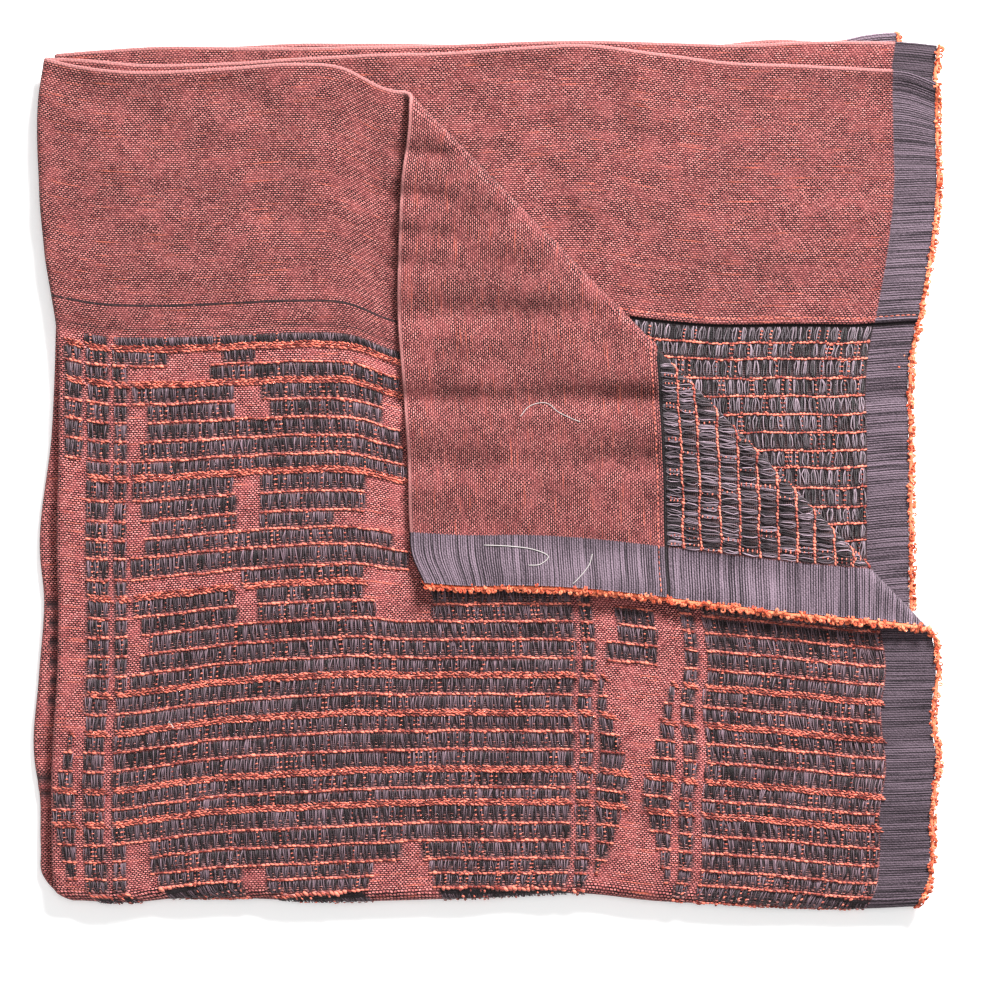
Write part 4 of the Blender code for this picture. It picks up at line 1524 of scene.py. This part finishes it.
@dataclass
class StrayThreads:
    """Loose threads that lie on the cloth, each drawn on the plan and laid on what is below it."""

    lines: tuple[tuple[float, tuple[tuple[float, float], ...]], ...] = (
        (0.16, ((14.0, 27.5), (19.0, 33.0), (27.0, 34.5), (33.0, 30.0), (40.0, 26.5), (44.0, 25.0))),
        (0.22, ((-4.0, -36.5), (8.0, -37.0), (20.0, -38.5), (28.0, -42.0), (24.0, -46.0), (18.0, -46.5))),
        (0.2, ((34.0, -60.0), (41.0, -55.0), (48.0, -47.0), (50.0, -41.0))),
        (0.3, ((-161.5, -124.5), (-160.0, -126.5), (-159.0, -128.5))),
    )
    lift: float = 0.35

    def build(self, ground: list[bpy.types.Object], material: bpy.types.Material) -> bpy.types.Object:
        """Build the threads: each is a smooth curve through its points, a little above the cloth.

        Args:
            ground: The pieces that they may lie on.
            material: Their finish.

        Returns:
            The piece.
        """
        shape = Shape()
        trees = []
        for piece in ground:
            corners = [vertex.co for vertex in piece.data.vertices]
            trees.append(BVHTree.FromPolygons(corners, [face.vertices for face in piece.data.polygons]))
        for radius, points in self.lines:
            plan = np.array(points)
            share = np.arange(len(plan), dtype=float)
            at = np.linspace(0.0, len(plan) - 1.0, 6 * len(plan))
            path = np.zeros((len(at), 3))
            path[:, 0] = follow(share, plan[:, 0], at) * MM
            path[:, 1] = follow(share, plan[:, 1], at) * MM
            for point in path:
                above = Vector((point[0], point[1], 0.1))
                hits = [tree.ray_cast(above, Vector((0.0, 0.0, -1.0))) for tree in trees]
                highest = max((hit[0].z for hit in hits if hit[0] is not None), default=0.0)
                point[2] = highest + self.lift * MM
            path[:, 2] = np.convolve(np.pad(path[:, 2], 2, mode="edge"), np.ones(5) / 5.0, mode="valid")
            ring = tube_points(path[None], np.array([[radius * MM]]), 4, np.array((0.0, 0.0, 1.0)))
            shape.add(ring.reshape(-1, 3), tube_faces(1, len(path), 4), np.full(len(path) * 4, 0.6))
        return add_piece("stray_threads", shape.mesh("stray_threads"), material)


@dataclass
class Cloth:
    """The whole folded cloth: its sheet, the threads on it and its looped edges."""

    finishes: Wardrobe
    reverse_rows: int = 26
    face_floats: FloatRun = FloatRun(
        side=Side.FACE,
        pitch=3.8,
        shares=(0.0, 0.55, 1.0),
        spread=(0.98, 0.85, 0.46),
        heights=(0.0, 0.6, 0.3),
        strands=6,
        jitter=0.26,
        stray=0.3,
        darkness=2.4,
    )
    reverse_floats: FloatRun = FloatRun(
        side=Side.REVERSE,
        pitch=4.1,
        shares=(0.0, 0.3, 0.7, 1.0),
        spread=(0.45, 0.9, 0.9, 0.4),
        heights=(0.1, 0.6, 0.5, 0.1),
        strands=5,
        jitter=0.3,
        stray=0.24,
        darkness=2.6,
    )

    def sheets(self) -> list[bpy.types.Object]:
        """Build the three stretches of the sheet."""
        width = FOLD.half_width
        pieces = (
            SheetPiece("cloth_first", (0.0, width), 1.0, 2.3, 1.9, Side.FACE, 2),
            SheetPiece("cloth_second", (-width, 0.0), 1.0, 4.0, 2.0, Side.REVERSE, 3),
            SheetPiece("cloth_lower", (-width, width), -1.0, 8.0, 7.0, Side.FACE, 1),
        )
        return [piece.build(self.finishes.cloth) for piece in pieces]

    def floats(self) -> list[bpy.types.Object]:
        """Build the floats of the face in three pieces, and those of the reverse in one."""
        made = []
        pieces = (("floats_upper", 0, 19), ("floats_middle", 19, 26), ("floats_lower", 26, ROWS))
        for name, first, end in pieces:
            shape = Shape()
            for row in range(first, end):
                Floats(self.face_floats, 200).build(shape, row, CHART.face_spans(row))
            made.append(add_piece(name, shape.mesh(name), self.finishes.float_face))
        name = "floats_reverse"
        shape = Shape()
        for row in range(self.reverse_rows):
            Floats(self.reverse_floats, 400).build(shape, row, CHART.reverse_spans(row))
        made.append(add_piece(name, shape.mesh(name), self.finishes.float_reverse))
        return made

    def ribs(self) -> list[bpy.types.Object]:
        """Build the ribs of both sides, with the ties, and the pale picks."""
        made = []
        for name, thick in (("ribs", False), ("ribs_thick", True)):
            ribs = Shape()
            for rib in range(len(RIBS) - 1):
                runs = [run for run in CHART.joined(rib) if run[0] > 0.0]
                if (rib in THICK_RIBS) is thick:
                    Ribs(sides=3 if thick else 4).build(ribs, rib, runs, Side.FACE)
            made.append(add_piece(name, ribs.mesh(name), self.finishes.rib))
        reverse = Shape()
        for rib in range(self.reverse_rows):
            runs = [run for run in CHART.joined(rib) if run[0] >= 300.0 or run[1] < -280.0]
            Ribs(bead=1.7, lift=0.3, half_height=0.62).build(reverse, rib, runs, Side.REVERSE)
        made.append(add_piece("ribs_reverse", reverse.mesh("ribs_reverse"), self.finishes.rib))
        picks = Shape()
        ties = Shape()
        for row in range(ROWS):
            spans = CHART.face_spans(row)
            if row > 0:
                Picks().build(picks, row, spans)
            Ties().build(ties, row, spans, Side.FACE)
            if row < self.reverse_rows:
                Ties(spacing=11.0).build(ties, row, CHART.reverse_spans(row), Side.REVERSE)
        made.append(add_piece("picks", picks.mesh("picks"), self.finishes.pick))
        made.append(add_piece("ties", ties.mesh("ties"), self.finishes.rib))
        return made

    def edging(self) -> list[bpy.types.Object]:
        """Build the looped yarn along both selvedges, and the facings' stitches."""
        length = FOLD.half_length
        bottom = ("loops_bottom_near", "loops_bottom_far")
        runs = (
            LoopedEdge("loops_first", 1.0, 0.0, length, ("loops_top", "loops_corner"), 601),
            LoopedEdge("loops_second", -1.0, 0.0, length, ("loops_second_near", "loops_second_far"), 602),
            LoopedEdge("loops_third", -1.0, 0.0, -length, ("loops_third_near", "loops_third_far"), 603, 0.75),
            LoopedEdge("loops_fourth", 1.0, 0.0, -length, bottom, 604, 1.0),
        )
        made = [run.build(self.finishes.loop) for run in runs]
        shape = Shape()
        width = FOLD.half_width
        for towards_hem in (1.0, -1.0):
            Stitches().build(shape, -width + 1.0, -5.0, towards_hem)
            Stitches().build(shape, 5.0, width - 1.0, towards_hem)
        made.append(add_piece("stitches", shape.mesh("stitches"), self.finishes.rib))
        return made

    def build(self) -> None:
        first, second, lower = self.sheets()
        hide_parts("cloth")
        on_it = self.floats() + self.ribs()
        edging = self.edging()
        stray = StrayThreads().build([first, second], self.finishes.stray)


@dataclass
class Studio:
    """A white floor, soft light from above the pack's hemmed end, and a camera that looks straight down."""

    middle: tuple[float, float] = (0.004, -0.014)
    view_height: float = 1.512
    view_width: float = 0.5
    look_plane: float = 0.012
    sensor: float = 36.0
    floor_reach: float = 3.0
    floor_glow: float = 0.22
    air_strength: float = 0.42

    def light(self, name: str, place: tuple[float, float, float], size: float, power: float) -> None:
        """Add a square soft light that faces the pack's middle."""
        lamp = bpy.data.lights.new(name, "AREA")
        lamp.shape = "SQUARE"
        lamp.size = size
        lamp.energy = power
        holder = bpy.data.objects.new(name, lamp)
        holder.location = place
        holder.rotation_euler = (-Vector(place)).to_track_quat("-Z", "Y").to_euler()
        bpy.context.scene.collection.objects.link(holder)

    def build(self) -> None:
        """Build the floor, the lights and the camera."""
        mesh = bpy.data.meshes.new("floor")
        far = self.floor_reach
        corners = [(-far, -far, 0.0), (far, -far, 0.0), (far, far, 0.0), (-far, far, 0.0)]
        mesh.from_pydata(corners, [], [(0, 1, 2, 3)])
        white = bpy.data.materials.new("white_floor")
        white.use_nodes = True
        shader = white.node_tree.nodes["Principled BSDF"]
        shader.inputs["Base Color"].default_value = (0.92, 0.92, 0.92, 1.0)
        shader.inputs["Roughness"].default_value = 0.9
        shader.inputs["Specular IOR Level"].default_value = 0.1
        shader.inputs["Emission Color"].default_value = (1.0, 1.0, 1.0, 1.0)
        shader.inputs["Emission Strength"].default_value = self.floor_glow
        mesh.materials.append(white)
        floor = bpy.data.objects.new("floor", mesh)
        bpy.context.scene.collection.objects.link(floor)

        self.light("key_light", (0.7, 1.35, 1.05), 0.55, 118.0)
        self.light("top_light", (0.1, 0.1, 2.2), 1.2, 18.0)
        world = bpy.data.worlds.new("studio_air")
        world.use_nodes = True
        world.node_tree.nodes["Background"].inputs["Color"].default_value = (1.0, 1.0, 1.0, 1.0)
        world.node_tree.nodes["Background"].inputs["Strength"].default_value = self.air_strength
        bpy.context.scene.world = world
        bpy.context.scene.view_settings.view_transform = "Standard"

        camera = bpy.data.cameras.new("camera")
        distance = self.view_height - self.look_plane
        camera.sensor_width = self.sensor
        camera.lens = self.sensor * distance / self.view_width
        camera.clip_end = 20.0
        eye = bpy.data.objects.new("camera", camera)
        eye.location = (self.middle[0], self.middle[1], self.view_height)
        bpy.context.scene.collection.objects.link(eye)
        bpy.context.scene.camera = eye


def main() -> None:
    """Build the studio and the cloth."""
    logging.basicConfig(level=logging.INFO, format="%(name)s: %(message)s")
    Studio().build()
    Cloth(Wardrobe()).build()


if __name__ == "__main__":
    main()
